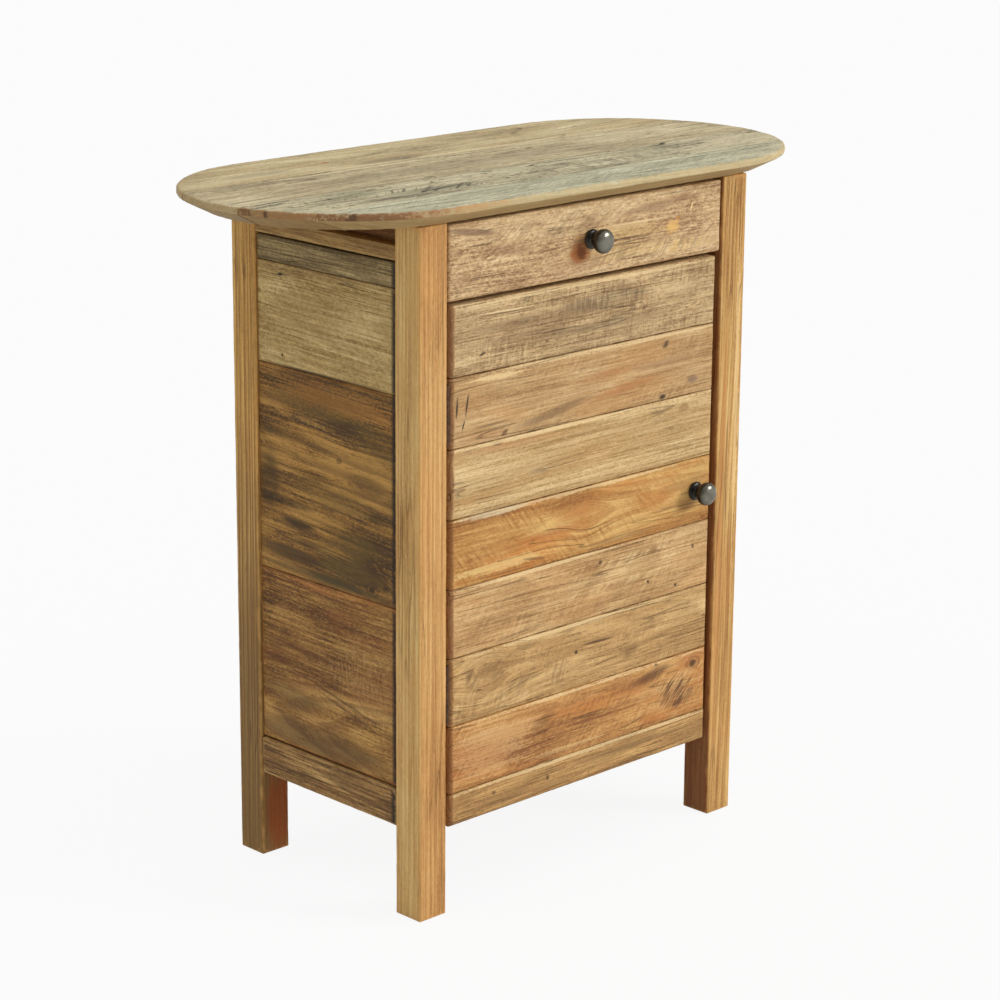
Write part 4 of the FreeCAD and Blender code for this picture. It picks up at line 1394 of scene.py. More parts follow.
@dataclass
class Legs:
    """Four square legs with worn corners, each of its own timber.

    Lengths are millimetres.
    """

    half_width: float = 18.75
    face_strip: float = 3.0
    corner_round: float = 2.0
    foot_round: float = 1.5
    cell: float = 6.0
    hollow: float = 0.35
    nick: float = 0.5
    worn: float = 5.0
    wood: Wood = Wood(Colour(158, 107, 54), Colour(208, 157, 94), Colour(232, 188, 122),
                      Colour(164, 105, 48), edge=Colour(232, 176, 100), tint=Colour(216, 150, 82),
                      ring_pitch=3.2, heart_depth=120, heart_offset=90, heart_tilt=0.006, wander=3.0,
                      rings=0.3, fibres=1.1, hairs=0.7, strokes=0.4, grit=0.4, scuffs=0.2, blotches=0.6,
                      pores=0.15, flecks=0.15, checks=0.3, wear=0.5)
    red_foot: Mark = Mark(-318, 7, 110, 54, Colour(170, 86, 32), 0.85, ragged=0.5)
    # The back-left leg is darker olive towards its foot, as painted shade, and lifted towards its head, as
    # painted light.
    olive_shin_shade: Mark = Mark(-230, 0, 440, WHOLE, Colour(112, 86, 46), 0.55, ragged=0.4)
    lit_head: Mark = Mark(260, 0, 480, WHOLE, Colour(220, 220, 228), 1.0, ragged=0.0, spread=Spread.LIFT)
    orange_edge: Mark = Mark(-40, -10, 520, 9, Colour(196, 122, 60), 0.5, 0.5, 1.5)
    straw_edge: Mark = Mark(120, 11, 380, 8, Colour(244, 208, 146), 0.55, -0.5, 1.5)

    def _face(self, tone: Colour, strength: float, spread: Spread, ragged: float = 0.0) -> Mark:
        """A mark that covers a leg's whole left face."""
        return Mark(0, -self.half_width, WHOLE, self.face_strip, tone, strength, ragged=ragged,
                    spread=spread)

    def _woods(self) -> dict[str, Wood]:
        """The timber of each leg.

        Returns:
            The timbers by their nodes.
        """
        # The front-left leg's left face is lifted paler and greyer: partly its own weathered colour, partly
        # painted light on that face.
        pale = self._face(Colour(233, 219, 214), 1.0, Spread.LIFT)
        # Painted shade: the front-right leg's left face beside the door is darkened to red-brown, over
        # reddish wood.
        shaded_inner_face = self._face(Colour(124, 60, 26), 0.75, Spread.COVER, 0.25)
        even = replace(self.wood, seed=5.0, rings=0.28, ring_pitch=4.4, fibres=0.8, blotches=0.9,
                       checks=0.2)
        streaky = replace(self.wood, seed=6.0, body=Colour(205, 160, 93), light=Colour(234, 195, 126),
                          rings=0.35, ring_pitch=6.5, fibres=1.6, strokes=1.2, wander=6.0, slope=0.025)
        far = replace(self.wood, dark=Colour(142, 102, 50), body=Colour(196, 153, 88),
                      light=Colour(224, 184, 114), late=Colour(138, 92, 44), ring_pitch=4.2, rings=0.7)
        return {
            "leg_front_left": replace(even, marks=(pale,)),
            "leg_front_right": replace(streaky, marks=(shaded_inner_face, self.orange_edge, self.straw_edge)),
            "leg_back_left": replace(far, seed=7.0, marks=(self.lit_head, self.olive_shin_shade, self.red_foot)),
            "leg_back_right": replace(far, seed=8.0),
        }

    def build(self) -> None:
        """Model and dress the legs."""
        upright = tuple((front, side) for front in (Face.FRONT, Face.BACK)
                        for side in (Face.LEFT, Face.RIGHT))
        for node, wood in self._woods().items():
            low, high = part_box(node)
            timber = Timber(f"{node}_post", low, high, cell=self.cell, edge=self.foot_round,
                            hollow=self.hollow, nick=self.nick, broad=self.corner_round,
                            broad_edges=upright, worn=self.worn)
            piece = timber.build()
            finish = wood.material(f"{piece.name}_finish", low, high, Grain.POST)
            settle(piece, finish, Body.CARCASS, [node])


@dataclass
class SidePanels:
    """Rails and boards of the left and right sides.

    Lengths are millimetres. The boards show between the rails, with a dark line all round.
    """

    tenon: float = 12.0
    tongue: float = 6.0
    shadow_gap: float = 1.8
    rail_edge: float = 1.0
    rail_worn: float = 4.0
    board_edge: float = 0.5
    board_worn: float = 3.0
    board_hollow: float = 0.4
    seed_step: float = 20.0
    # Painted shadow: a dark band where the boards and the lower rail meet the front leg.
    leg_shadow: Mark = Mark(-107.5, 0, 19, WHOLE, SOOT, 0.95, ragged=0.1)
    board_woods: tuple[Wood, ...] = (
        Wood(Colour(98, 84, 53), Colour(161, 138, 90), Colour(211, 187, 132), Colour(110, 92, 58),
             edge=Colour(110, 92, 60), tint=Colour(150, 120, 74), seed=11.0, rings=0.3, wander=3.0,
             heart_depth=200, ring_pitch=2.8, fibres=1.5, hairs=1.7, strokes=0.6, grit=1.0, pores=0.3,
             flecks=0.25),
        Wood(Colour(150, 118, 67), Colour(204, 172, 109), Colour(238, 212, 150), Colour(160, 124, 68),
             edge=Colour(140, 106, 58), tint=Colour(196, 160, 96), seed=12.0, rings=0.3, heart_depth=160,
             ring_pitch=4.0, wander=5.0, slope=0.03, fibres=1.3, hairs=1.0, strokes=0.5, grit=1.2,
             pores=0.12, flecks=0.3,
             marks=(Mark(70, 43, 10, 4.5, SOOT, 0.9, -8, 0.3), Mark(66, 43, 46, 3, SOOT, 0.45, -8),
                    Mark(68, -42, 4.5, 4.5, SOOT, 0.9, 0, 0.2), Mark(22, 0, 40, 6, STRAW, 0.45, -12),
                    Mark(0, -53, 220, 2.6, SOOT, 0.8, ragged=0.5))),
        Wood(Colour(80, 56, 26), Colour(160, 115, 54), Colour(206, 156, 82), Colour(84, 58, 28),
             edge=Colour(150, 100, 48), tint=Colour(134, 106, 50), seed=13.0, rings=0.35, heart_depth=60,
             ring_pitch=8.0, heart_offset=60, wander=10.0, slope=0.05, fibres=1.3, hairs=1.1, strokes=0.6,
             grit=1.2, blotches=2.5, pores=0.3, flecks=0.12, tinting=0.5,
             knots=(Knot(-70, -99, 5.5), Knot(-91, -93, 2.5)),
             marks=(Mark(-20, 94, 230, 40, Colour(178, 120, 58), 0.45, 2, 1.3),
                    Mark(65, -32, 100, 10, PEAT, 0.5, 3), Mark(46, -54, 66, 14, PEAT, 0.9, 3),
                    Mark(60, -88, 120, 18, PEAT, 0.75, 3), Mark(30, -72, 50, 12, PEAT, 0.5, 3),
                    Mark(0, -104, 220, 12, Colour(66, 62, 38), 0.75, 1),
                    Mark(-61, 10, 60, 26, PEAT, 0.3, 4), Mark(-20, 28, 10, 8, PEAT, 0.5),
                    Mark(92, -10, 36, 70, PEAT, 0.55, 4),
                    Mark(30, 60, 90, 12, Colour(206, 160, 88), 0.35, 5),
                    Mark(-20, -20, 120, 12, Colour(196, 152, 82), 0.35, 4))),
        Wood(Colour(102, 66, 30), Colour(170, 123, 61), Colour(216, 170, 99), Colour(108, 66, 31),
             edge=Colour(170, 108, 54), tint=Colour(160, 100, 54), seed=14.0, rings=0.4, heart_depth=80,
             ring_pitch=6.0, wander=8.0, slope=0.03, heart_tilt=0.07, heart_offset=-60, fibres=1.1,
             hairs=1.0, strokes=0.6, grit=1.2, blotches=2.3, pores=0.3, flecks=0.4, tinting=0.55,
             marks=(Mark(20, 90, 190, 12, Colour(196, 122, 66), 0.5, -1, 1.5),
                    Mark(40, 16, 130, 9, MAROON, 0.45, 4), Mark(80, -2, 60, 12, MAROON, 0.45, 4),
                    Mark(55, -40, 120, 30, Colour(112, 92, 50), 0.5, 4),
                    Mark(0, -20, 150, 4, Colour(78, 50, 28), 0.6, 12, 0.8),
                    Mark(-30, -34, 120, 4, SOOT, 0.5, 14, 0.8),
                    Mark(-50, 10, 120, 110, Colour(214, 172, 112), 0.3, 0, 1.2, 3.0),
                    Mark(20, -80, 230, 40, Colour(78, 62, 38), 0.6))),
    )
    rail_wood: Wood = Wood(Colour(96, 66, 34), Colour(172, 128, 71), Colour(222, 181, 116),
                           Colour(110, 76, 38), edge=Colour(196, 156, 98), tint=Colour(168, 130, 76),
                           seed=15.0, rings=0.5, ring_pitch=4.5, wander=5.0, fibres=1.4, hairs=2.2,
                           strokes=0.9, pores=0.35, flecks=0.25)
    upper_wood: Wood = Wood(Colour(113, 83, 44), Colour(171, 133, 75), Colour(200, 163, 103),
                            Colour(119, 85, 44), edge=Colour(196, 160, 100), tint=Colour(168, 130, 76),
                            seed=16.0, rings=0.3, wander=4.0, fibres=0.9, hairs=1.2, pores=0.2)

    def _with_leg_shadow(self, wood: Wood) -> Wood:
        """The same timber with a painted shadow in the corner by the front leg."""
        return replace(wood, marks=wood.marks + (self.leg_shadow,))

    def _dress(self, timber: Timber, wood: Wood, node: str) -> None:
        """Build one bar or board and paint it.

        Args:
            timber: its block.
            wood: its finish.
            node: the node that it stands for.
        """
        piece = timber.build()
        finish = wood.material(f"{piece.name}_finish", timber.low, timber.high, Grain.SIDE)
        settle(piece, finish, Body.CARCASS, [node])

    def build(self) -> None:
        """Model and dress both sides."""
        for count, side in enumerate(("left", "right")):
            rails = {}
            for level, wood in (("upper", self.upper_wood), ("lower", self._with_leg_shadow(self.rail_wood))):
                node = f"side_rail_{level}_{side}"
                low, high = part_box(node)
                rails[level] = (low.z, high.z)
                low.y += self.tenon * MM
                high.y -= self.tenon * MM
                timber = Timber(f"{node}_bar", low, high, edge=self.rail_edge, worn=self.rail_worn)
                self._dress(timber, replace(wood, seed=wood.seed + self.seed_step * count),
                            node)
            for index, wood in enumerate(self.board_woods):
                node = f"side_board_{side}_{index + 1}"
                low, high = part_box(node)
                low.y += self.tongue * MM
                high.y -= self.tongue * MM
                low.z = max(low.z, rails["lower"][1] + self.shadow_gap * MM)
                high.z = min(high.z, rails["upper"][0] - self.shadow_gap * MM)
                timber = Timber(f"side_plank_{side}_{index + 1}", low, high, edge=self.board_edge,
                                worn=self.board_worn, hollow=self.board_hollow)
                leg_shadowed = replace(self._with_leg_shadow(wood), seed=wood.seed + self.seed_step * count)
                self._dress(timber, leg_shadowed, node)


@dataclass
class Knobs:
    """Two equal turned knobs: base disc, narrow neck and flattened head.

    The outline is given in shares of a knob's length and of its radius.
    """

    points: int = 48
    bright_from: float = 0.55
    bright_full: float = 0.85
    # How sharply the head's rim is darkened as painted shade.
    rim_shade_power: int = 6
    finish: Metal = Metal(Colour(48, 43, 33), Colour(26, 22, 16), Colour(122, 119, 106), 0.5, 0.2, 70.0)
    outline_shares: tuple[tuple[float, float], ...] = (
        (0.0, 0.82), (0.1, 0.82), (0.15, 0.76), (0.18, 0.6), (0.25, 0.48), (0.36, 0.46), (0.44, 0.52),
        (0.48, 0.7), (0.54, 0.88), (0.62, 0.97), (0.74, 1.0), (0.86, 0.93), (0.94, 0.76), (0.985, 0.5),
        (1.0, 0.22),
    )

    def _turn(self, radius: float, length: float) -> Piece:
        """Turn a knob by extruding ring after ring, with its seat at the origin.

        Args:
            radius: of the head.
            length: from the seat to the face.

        Returns:
            The knob, to be copied.
        """
        bpy.ops.object.select_all(action="DESELECT")
        first = self.outline_shares[0][1] * radius
        bpy.ops.mesh.primitive_circle_add(vertices=self.points, radius=first, fill_type="NGON",
                                          rotation=(math.pi / 2, 0, 0))
        piece = bpy.context.object
        bpy.ops.object.transform_apply(location=True, rotation=True, scale=True)
        with Editing(piece, "FACE"):
            bpy.ops.mesh.select_all(action="SELECT")
            steps = zip(self.outline_shares, self.outline_shares[1:])
            for (along, width), (next_along, next_width) in steps:
                bpy.ops.mesh.extrude_region_move(
                    TRANSFORM_OT_translate={"value": (0, -(next_along - along) * length, 0)})
                growth = next_width / width
                bpy.ops.transform.resize(value=(growth, 1, growth),
                                         center_override=(0, -next_along * length, 0))
            bpy.ops.mesh.select_all(action="SELECT")
            bpy.ops.mesh.normals_make_consistent(inside=False)
        apply(piece, "SUBSURF", levels=2, render_levels=2)
        smooth(piece)
        return piece

    def _rub(self, piece: Piece, radius: float, length: float) -> None:
        """Mark the face as worn, and leave the neck and the base dark; the head's rim is darkened as
        painted shade along its edge.

        Args:
            piece: the knob, with its seat at the origin.
            radius: of the head.
            length: from the seat to the face.
        """
        layer = piece.data.attributes.new(WEAR, "FLOAT", "POINT")
        for vertex, item in zip(piece.data.vertices, layer.data):
            outwards = (-vertex.co.y / length - self.bright_from) / (self.bright_full - self.bright_from)
            reach = math.hypot(vertex.co.x, vertex.co.z) / radius
            item.value = min(1.0, max(0.0, outwards)) * max(0.0, 1.0 - reach ** self.rim_shade_power)

    def build(self) -> None:
        """Turn one knob and copy it to both places."""
        low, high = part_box("drawer_knob")
        radius, length = (high.x - low.x) / 2, high.y - low.y
        pattern = self._turn(radius, length)
        self._rub(pattern, radius, length)
        for node, body in (("drawer_knob", Body.DRAWER), ("door_knob", Body.DOOR)):
            low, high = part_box(node)
            middle = (low + high) / 2
            piece = bpy.data.objects.new(f"{node}_turned", pattern.data.copy())
            bpy.context.scene.collection.objects.link(piece)
            piece.data.transform(Matrix.Translation((middle.x, high.y, middle.z)))
            settle(piece, self.finish.material(f"{piece.name}_finish"), body, [node])
        bpy.data.objects.remove(pattern)


@dataclass
class Door:
    """Seven equal boards and a narrow strip.

    Lengths are millimetres. The painted highlight along each board's upper edge is placed from that edge.
    """

    outer_round: float = 4.5
    strip_round: float = 3.0
    cell: float = 4.5
    nick: float = 1.3
    worn: float = 1.2
    seam: Colour = Colour(112, 74, 40)
    seam_wear: float = 0.6
    # Painted highlight: a pale line along each board's upper edge, where it would catch the light.
    arris_highlight: Mark = Mark(0, -2.6, 460, 4.2, Colour(240, 210, 156), 0.6, ragged=1.6)
    rubbed: Mark = Mark(-195, 0, 10, WHOLE, Colour(190, 124, 64), 0.5, ragged=1.4)
    teeth: Mark = Mark(-194, 0, 7, WHOLE, Colour(104, 62, 32), 0.6, ragged=0.9)
    woods: tuple[Wood, ...] = (
        Wood(Colour(130, 102, 66), Colour(194, 160, 112), Colour(228, 198, 148), Colour(140, 107, 66),
             tint=Colour(180, 152, 110), seed=21.0, rings=0.25, ring_pitch=3.2, heart_depth=180, wander=2.5,
             fibres=1.0, hairs=1.4, strokes=0.7, grit=1.3, scuffs=1.0, scuff_turn=80, pores=0.4,
             marks=(Mark(30, 12, 150, 34, Colour(96, 76, 50), 0.5, ragged=1.3, pitch=3.2),
                    Mark(30, 12, 120, 24, Colour(112, 90, 62), 0.35, ragged=1.6),
                    Mark(-60, 6, 240, 16, UMBER, 0.35), Mark(-100, -8, 150, 12, UMBER, 0.4),
                    Mark(20, -14, 200, 10, Colour(112, 88, 60), 0.4),
                    Mark(-118, 22, 100, 2.4, Colour(240, 212, 160), 0.85, -1, 0.3),
                    Mark(-118, 20, 110, 1.6, UMBER, 0.75, -1, 0.3),
                    Mark(-152, -18, 14, 3, SOOT, 0.9, 14, 0.3), Mark(-60, -19, 8, 2.6, SOOT, 0.7, 0, 0.3),
                    Mark(84, -4, 9, 7, Colour(84, 60, 38), 0.6))),
        Wood(Colour(152, 112, 66), Colour(196, 157, 105), Colour(224, 190, 140), Colour(156, 110, 60),
             tint=Colour(206, 152, 90), seed=22.0, rings=0.2, heart_depth=150, wander=5.0, pores=0.3,
             tinting=0.35, fibres=0.7, hairs=1.1, scuffs=0.9, scuff_turn=55,
             marks=(Mark(-187, 6, 28, 4.2, SOOT, 0.9, 86, 0.5), Mark(-173, 7, 28, 3.8, SOOT, 0.9, 80, 0.5),
                    Mark(-178, -14, 14, 2.6, SOOT, 0.9, 70, 0.2), Mark(119, 24, 15, 9, SOOT, 0.95, 20, 0.8),
                    Mark(116, -33, 12, 7, SOOT, 0.9, 10, 0.6), Mark(-120, -31, 12, 6, UMBER, 0.8, 30, 0.6),
                    Mark(-48, -22, 120, 12, UMBER, 0.55, 8),
                    Mark(62, -13, 130, 11, Colour(184, 112, 56), 0.5, 6, 1.5),
                    Mark(163, -20, 22, 12, Colour(118, 96, 80), 0.65),
                    Mark(-130, 30, 90, 7, Colour(242, 210, 152), 0.7),
                    Mark(30, 6, 130, 10, RUST, 0.25, 2, 1.5), Mark(-150, -28, 70, 12, RUST, 0.25, 0, 1.5),
                    Mark(120, 5, 120, 10, Colour(150, 106, 76), 0.35))),
        Wood(Colour(163, 128, 74), Colour(212, 178, 124), Colour(239, 210, 157), Colour(166, 122, 66),
             tint=Colour(212, 160, 94), seed=23.0, rings=0.4, ring_pitch=3.4, heart_depth=300,
             heart_tilt=0.005, wander=1.6, pores=0.3, flecks=0.4, fibres=1.1, hairs=1.1, strokes=0.2,
             grit=0.9, blotches=0.6, scuffs=0.4,
             marks=(Mark(-100, 28, 170, 12, RUST, 0.25), Mark(150, 24, 16, 10, Colour(150, 104, 58), 0.5),
                    Mark(-130, 33, 14, 5, UMBER, 0.7))),
        Wood(Colour(143, 88, 35), Colour(194, 142, 75), Colour(226, 183, 111), Colour(161, 98, 39),
             tint=Colour(208, 132, 58), seed=24.0, rings=0.25, ring_pitch=6.5, heart_depth=26,
             heart_offset=4, heart_tilt=0.07, wander=14.0, fibres=0.5, hairs=0.6, strokes=0.7, blotches=1.4,
             tinting=0.65, pores=0.1, scuffs=1.1, scuff_turn=-50,
             knots=(Knot(0, 6, 11, Colour(190, 116, 48), 0.3),),
             marks=(Mark(-10, 14, 80, 20, RUST, 0.35, 10, 1.5),
                    Mark(-140, 34, 110, 9, Colour(218, 198, 164), 0.75),
                    Mark(-125, -24, 150, 14, Colour(238, 204, 134), 0.6, ragged=1.6),
                    Mark(-120, -33, 120, 3, UMBER, 0.5), Mark(-75, -27, 40, 4, UMBER, 0.6, -8),
                    Mark(140, 10, 60, 14, Colour(150, 92, 44), 0.45),
                    Mark(160, -14, 40, 12, Colour(138, 82, 38), 0.5),
                    Mark(-60, -6, 200, 12, RUST, 0.35, 3, 1.5), Mark(60, -30, 120, 8, UMBER, 0.3))),
        Wood(Colour(148, 110, 62), Colour(202, 160, 106), Colour(233, 199, 142), Colour(152, 108, 60),
             tint=Colour(204, 142, 78), seed=25.0, rings=0.3, ring_pitch=3.6, heart_depth=240, wander=2.5,
             pores=0.25, flecks=0.35, fibres=0.9, hairs=1.1, strokes=0.3, scuffs=0.6, scuff_turn=60,
             marks=(Mark(60, 20, 240, 12, Colour(244, 214, 156), 0.55, pitch=9.0, lean=1.1, ragged=0.9),
                    Mark(64, 19, 240, 12, Colour(140, 94, 48), 0.5, pitch=11.0, lean=1.1, ragged=0.9),
                    Mark(40, -8, 260, 12, Colour(242, 212, 154), 0.4, pitch=8.0, lean=1.2, ragged=1.0),
                    Mark(10, -24, 160, 8, Colour(128, 92, 56), 0.4, pitch=9.0, lean=0.6, ragged=1.0),
                    Mark(99, -15, 5, 5, SOOT, 0.95, 0, 0.2), Mark(143, -28, 5, 5, SOOT, 0.9, 0, 0.2),
                    Mark(24, 22, 8, 6, SOOT, 0.8, 0, 0.5), Mark(170, 11, 5, 8, SOOT, 0.8, 0, 0.3),
                    Mark(-140, -12, 70, 26, Colour(140, 98, 56), 0.5, pitch=8.0, lean=0.9, ragged=1.2))),
        Wood(Colour(138, 102, 58), Colour(199, 157, 99), Colour(230, 194, 135), Colour(142, 104, 56),
             tint=Colour(198, 150, 88), seed=26.0, rings=0.25, ring_pitch=5.0, heart_depth=60,
             heart_tilt=0.05, wander=8.0, fibres=0.6, hairs=0.7, strokes=0.6, blotches=1.0, scuffs=0.9,
             scuff_turn=70,
             knots=(Knot(-147, 12, 15, Colour(122, 88, 52), 0.4),),
             marks=(Mark(-165, 10, 24, 40, Colour(104, 74, 44), 0.45, 12, pitch=4.0, lean=1.0),
                    Mark(-128, 14, 22, 42, Colour(104, 74, 44), 0.45, -10, pitch=4.0, lean=1.0),
                    Mark(-40, -8, 40, 44, Colour(112, 80, 48), 0.4, 30, pitch=4.0, lean=1.0),
                    Mark(22, 8, 60, 4.0, Colour(100, 68, 40), 0.9, -2, 0.4),
                    Mark(-11, 3, 6, 6, SOOT, 0.9, 0, 0.2),
                    Mark(74, -14, 30, 14, Colour(120, 86, 50), 0.5, 30), Mark(-90, 26, 50, 8, UMBER, 0.4),
                    Mark(-96, -12, 60, 24, Colour(132, 96, 58), 0.4, pitch=7.0, lean=0.8))),
        Wood(Colour(140, 88, 43), Colour(197, 143, 80), Colour(231, 186, 121), Colour(156, 98, 44),
             tint=Colour(196, 122, 58), seed=27.0, rings=0.2, ring_pitch=5.0, heart_depth=90, wander=9.0,
             pores=0.25, fibres=0.6, hairs=0.7, strokes=0.6, blotches=1.5, tinting=0.55, scuffs=1.0,
             scuff_turn=50,
             knots=(Knot(175, 22, 6.0), Knot(115, 33, 2.2)),
             marks=(Mark(150, -4, 64, 44, Colour(66, 40, 22), 0.75, -6, 0.9, 3.2, 0.8),
                    Mark(150, -8, 50, 30, MAROON, 0.3), Mark(112, 24, 60, 14, Colour(84, 48, 24), 0.6, 8),
                    Mark(90, 18, 90, 14, MAROON, 0.45, 6),
                    Mark(-140, 0, 150, 60, Colour(216, 172, 118), 0.45, ragged=1.6),
                    Mark(20, 12, 160, 20, Colour(204, 126, 56), 0.45, 0, 1.5),
                    Mark(-60, 10, 40, 14, UMBER, 0.35, 20), Mark(170, 26, 50, 20, Colour(176, 96, 40), 0.5),
                    Mark(-20, -28, 160, 8, STRAW, 0.35))),
        Wood(Colour(120, 87, 46), Colour(183, 138, 82), Colour(217, 174, 109), Colour(124, 89, 46),
             tint=Colour(162, 134, 82), seed=28.0, rings=0.3, ring_pitch=4.2, heart_depth=60, wander=5.0,
             pores=0.35, fibres=0.9, hairs=1.3, strokes=0.7,
             marks=(Mark(80, 4, 200, 7, Colour(112, 88, 52), 0.4), Mark(-100, -8, 140, 6, UMBER, 0.4),
                    Mark(-52, 0, 6, 8, Colour(70, 48, 28), 0.8, 0, 0.5),
                    Mark(-132, 4, 8, 5, SOOT, 0.7, 0, 0.5))),
    )

    def build(self) -> None:
        """Model and dress the boards."""
        last = len(self.woods) - 1
        for index, wood in enumerate(self.woods):
            node = f"door_board_{index + 1}"
            low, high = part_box(node)
            rounds = [(Face.FRONT, Face.LEFT), (Face.FRONT, Face.RIGHT)]
            if index == 0:
                rounds.append((Face.FRONT, Face.TOP))
            if index == last:
                rounds.append((Face.FRONT, Face.BOTTOM))
            rounding = self.strip_round if index == last else self.outer_round
            timber = Timber(f"door_plank_{index + 1}", low, high, cell=self.cell, broad=rounding,
                            broad_edges=tuple(rounds), nick=self.nick, worn=self.worn)
            piece = timber.build()
            half = (high.z - low.z) / MM / 2
            # Each board gets the painted highlight along its upper edge.
            pale = replace(self.arris_highlight, across=half + self.arris_highlight.across)
            marks = wood.marks + (pale, self.rubbed, self.teeth)
            rubbed = replace(wood, edge=self.seam, wear=self.seam_wear, marks=marks)
            finish = rubbed.material(f"{piece.name}_finish", low, high, Grain.FRONT)
            settle(piece, finish, Body.DOOR, [node])


@dataclass
class Drawer:
    """The drawer's front. Lengths are millimetres."""

    outer_round: float = 2.5
    cell: float = 4.5
    nick: float = 1.2
    worn: float = 4.0
    # The pale edge tone is rubbed wear along the rounded edges and painted highlight on them.
    wood: Wood = Wood(Colour(144, 106, 70), Colour(209, 173, 125), Colour(240, 211, 161),
                      Colour(152, 110, 70), edge=Colour(228, 188, 134), tint=Colour(186, 140, 100),
                      seed=31.0, rings=0.15, ring_pitch=6.0, heart_depth=40, heart_tilt=0.1, wander=10.0,
                      saw=0.15, saw_slant=0.9, pores=0.45, fibres=0.9, hairs=1.0, strokes=0.6, grit=1.4,
                      scuffs=1.3, scuff_turn=25, blotches=1.1, flecks=0.4, tinting=0.4,
                      marks=(Mark(40, -6, 180, 40, Colour(206, 168, 98), 0.35, ragged=1.6),
                             Mark(124, -2, 27, 19, Colour(236, 188, 108), 0.8, 10, 0.9),
                             Mark(132, 6, 10, 6, Colour(204, 134, 60), 0.7, 30, 0.6),
                             Mark(153, 16, 14, 4, Colour(246, 218, 150), 0.8, 70, 0.3),
                             Mark(-168, 28, 70, 8, Colour(112, 76, 56), 0.65, -8),
                             # Reddish-brown stain left of and below the knob, with the knob's shadow
                             # painted into it.
                             Mark(-16, -10, 32, 32, Colour(178, 98, 36), 0.85, 30, 1.3),
                             Mark(-14, -11, 14, 22, MAROON, 0.6, 20, 1.2),
                             Mark(-120, 4, 90, 14, Colour(148, 104, 76), 0.45, -6),
                             Mark(80, -22, 190, 24, Colour(118, 84, 54), 0.35, pitch=4.0, lean=0.9,
                                  ragged=1.5),
                             Mark(-60, 20, 200, 24, Colour(136, 96, 66), 0.35, pitch=4.0, lean=1.3,
                                  ragged=1.5),
                             Mark(135, -24, 100, 16, Colour(234, 194, 116), 0.5, ragged=1.3, pitch=5.0,
                                  lean=0.6),
                             Mark(110, 24, 130, 12, Colour(128, 88, 62), 0.5, 4),
                             Mark(70, 9, 200, 2.4, Colour(242, 214, 160), 0.65, 0, 0.4)))

    def build(self) -> None:
        """Model and dress the front."""
        node = "drawer_front"
        low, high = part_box(node)
        rounds = tuple((Face.FRONT, side) for side in (Face.LEFT, Face.RIGHT, Face.TOP, Face.BOTTOM))
        timber = Timber("drawer_face", low, high, cell=self.cell, broad=self.outer_round,
                        broad_edges=rounds, nick=self.nick, worn=self.worn)
        piece = timber.build()
        finish = self.wood.material(f"{piece.name}_finish", low, high, Grain.FRONT)
        settle(piece, finish, Body.DRAWER, [node])


@dataclass
class Inside:
    """Finishes of the nodes that keep their own shape."""

    wood: Wood = Wood(Colour(130, 92, 50), Colour(182, 140, 88), Colour(212, 174, 120),
                      Colour(144, 100, 54), seed=41.0, rings=0.45, pores=0.3, wear=0.0)
    # Darker wood for the top battens in the recess under the top: painted shade.
    batten_shade_wood: Wood = Wood(Colour(92, 58, 30), Colour(144, 100, 54), Colour(174, 127, 74),
                           Colour(100, 62, 32), seed=61.0, rings=0.3, pores=0.3, wear=0.0)
    steel: Metal = Metal(Colour(150, 150, 152), Colour(104, 102, 100), Colour(180, 180, 182), 0.95, 0.34,
                         500.0)
    plastic: Plastic = Plastic(Colour(92, 62, 40), Colour(70, 46, 30))
    bronze: Metal = Metal(Colour(92, 60, 36), Colour(60, 40, 26), Colour(140, 100, 60), 0.5, 0.5, 400.0)

    def _grain(self, low: Vector, high: Vector) -> Grain:
        """The grain that follows a node's longest side.

        Args:
            low: the node's lowest corner.
            high: its highest corner.

        Returns:
            The grain.
        """
        sizes = [high[i] - low[i] for i in range(3)]
        order = sorted(range(3), key=lambda axis: -sizes[axis])
        known = {grain.value: grain for grain in Grain}
        return known.get(tuple(order), Grain.FRONT)

    def build(self) -> None:
        """Dress every node that is still shown."""
        metals = {"hinge": self.bronze, "bolt": self.steel, "screw": self.steel, "plate": self.steel}
        shown = sorted(name for name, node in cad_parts.items() if not node.hide_render)
        for count, name in enumerate(shown):
            low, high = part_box(name)
            metal = next((finish for word, finish in metals.items() if word in name), None)
            if metal:
                finish = metal.material(f"{name}_finish")
            elif "catch" in name:
                finish = self.plastic.material(f"{name}_finish")
            else:
                base = self.batten_shade_wood if "top_batten" in name else self.wood
                wood = replace(base, seed=base.seed + count)
                finish = wood.material(f"{name}_finish", low, high, self._grain(low, high))
            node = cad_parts[name]
            node.data.materials.clear()
            node.data.materials.append(finish)
            log.info("%s: finished as it is", name)


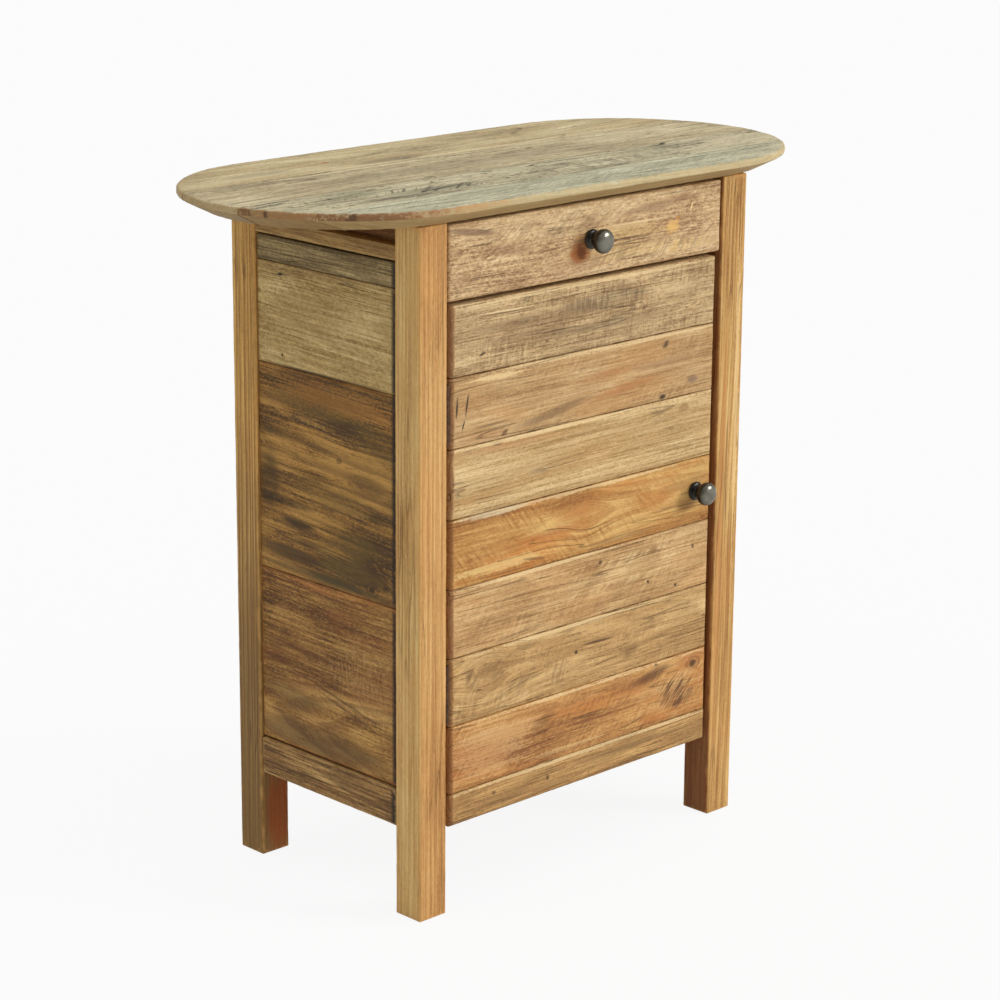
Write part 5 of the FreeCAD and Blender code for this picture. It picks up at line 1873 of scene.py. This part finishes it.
@dataclass
class Studio:
    """Pale floor, soft light and the camera."""

    camera_place: Triple = (-2.1936, -2.2627, 1.2692)
    yaw: float = 44.277
    pitch: float = 15.763
    roll: float = 0.422
    focal_pixels: float = 3009.4
    image_pixels: float = 1000.0
    sensor: float = 36.0
    key_from: Triple = (0.60, -0.72, 0.34)
    key_strength: float = 1.84
    key_softness: float = 24.0
    ceiling_strength: float = 0.93
    ceiling_softness: float = 100.0
    sky_strength: float = 0.41
    floor_side: float = 60.0
    floor_white: float = 0.8
    floor_glow: float = 0.9

    def _camera(self) -> None:
        """The camera where the picture was taken from."""
        yaw, pitch, roll = (math.radians(angle) for angle in (self.yaw, self.pitch, self.roll))
        ahead = Vector((math.sin(yaw) * math.cos(pitch), math.cos(yaw) * math.cos(pitch), -math.sin(pitch)))
        level = Vector((math.cos(yaw), -math.sin(yaw), 0))
        above = level.cross(ahead)
        right = level * math.cos(roll) + above * math.sin(roll)
        up = above * math.cos(roll) - level * math.sin(roll)
        bpy.ops.object.camera_add()
        camera = bpy.context.object
        turn = Matrix((right, up, -ahead)).transposed().to_4x4()
        camera.matrix_world = Matrix.Translation(self.camera_place) @ turn
        camera.data.sensor_width = self.sensor
        camera.data.lens = self.sensor * self.focal_pixels / self.image_pixels
        camera.data.clip_end = 2 * self.floor_side
        bpy.context.scene.camera = camera

    def _sun(self, direction: Vector, strength: float, softness: float) -> None:
        """One distant light.

        Args:
            direction: where it shines from.
            strength: how bright it is.
            softness: how wide it is, in degrees.
        """
        bpy.ops.object.light_add(type="SUN")
        light = bpy.context.object
        light.rotation_euler = direction.to_track_quat("Z", "Y").to_euler()
        light.data.energy = strength
        light.data.angle = math.radians(softness)

    def _light(self) -> None:
        """A soft key from the front right, a wide ceiling light and an even sky."""
        self._sun(Vector(self.key_from), self.key_strength, self.key_softness)
        self._sun(Vector((0, 0, 1)), self.ceiling_strength, self.ceiling_softness)
        world = bpy.data.worlds.new("studio")
        bpy.context.scene.world = world
        world.use_nodes = True
        sky = world.node_tree.nodes["Background"]
        sky.inputs["Color"].default_value = (1.0, 1.0, 1.0, 1.0)
        sky.inputs["Strength"].default_value = self.sky_strength

    def _floor(self) -> None:
        """A white floor that shows white to the eye and keeps a soft shadow."""
        bpy.ops.mesh.primitive_plane_add(size=self.floor_side)
        floor = bpy.context.object
        floor.name = "floor"
        n = Nodes("floor_white")
        tree = n.tree
        paint = n.add("ShaderNodeBsdfDiffuse")
        paint.inputs["Color"].default_value = (self.floor_white,) * 3 + (1.0,)
        glow = n.add("ShaderNodeEmission")
        rays = n.add("ShaderNodeLightPath")
        seen = n.math("MAXIMUM", rays.outputs["Is Camera Ray"], rays.outputs["Is Glossy Ray"])
        seen = n.math("MAXIMUM", seen, rays.outputs["Is Transmission Ray"])
        mix = n.add("ShaderNodeMixShader")
        tree.links.new(n.math("MULTIPLY", seen, self.floor_glow), mix.inputs[0])
        tree.links.new(paint.outputs[0], mix.inputs[1])
        tree.links.new(glow.outputs[0], mix.inputs[2])
        tree.nodes.remove(n.shader)
        tree.links.new(mix.outputs[0], tree.nodes["Material Output"].inputs["Surface"])
        floor.data.materials.append(n.material)

    def build(self) -> None:
        """Set the stage."""
        bpy.ops.object.select_all(action="DESELECT")
        self._floor()
        self._light()
        self._camera()
        bpy.context.scene.view_settings.view_transform = "Standard"


def main() -> None:
    """Build and dress every sub-assembly in order."""
    logging.basicConfig(level=logging.INFO, format="%(message)s")
    for assembly in (OvalTop(), Legs(), SidePanels(), Door(), Drawer(), Knobs(), Inside(), Studio()):
        log.info("building %s", type(assembly).__name__)
        assembly.build()


if __name__ == "__main__":
    main()
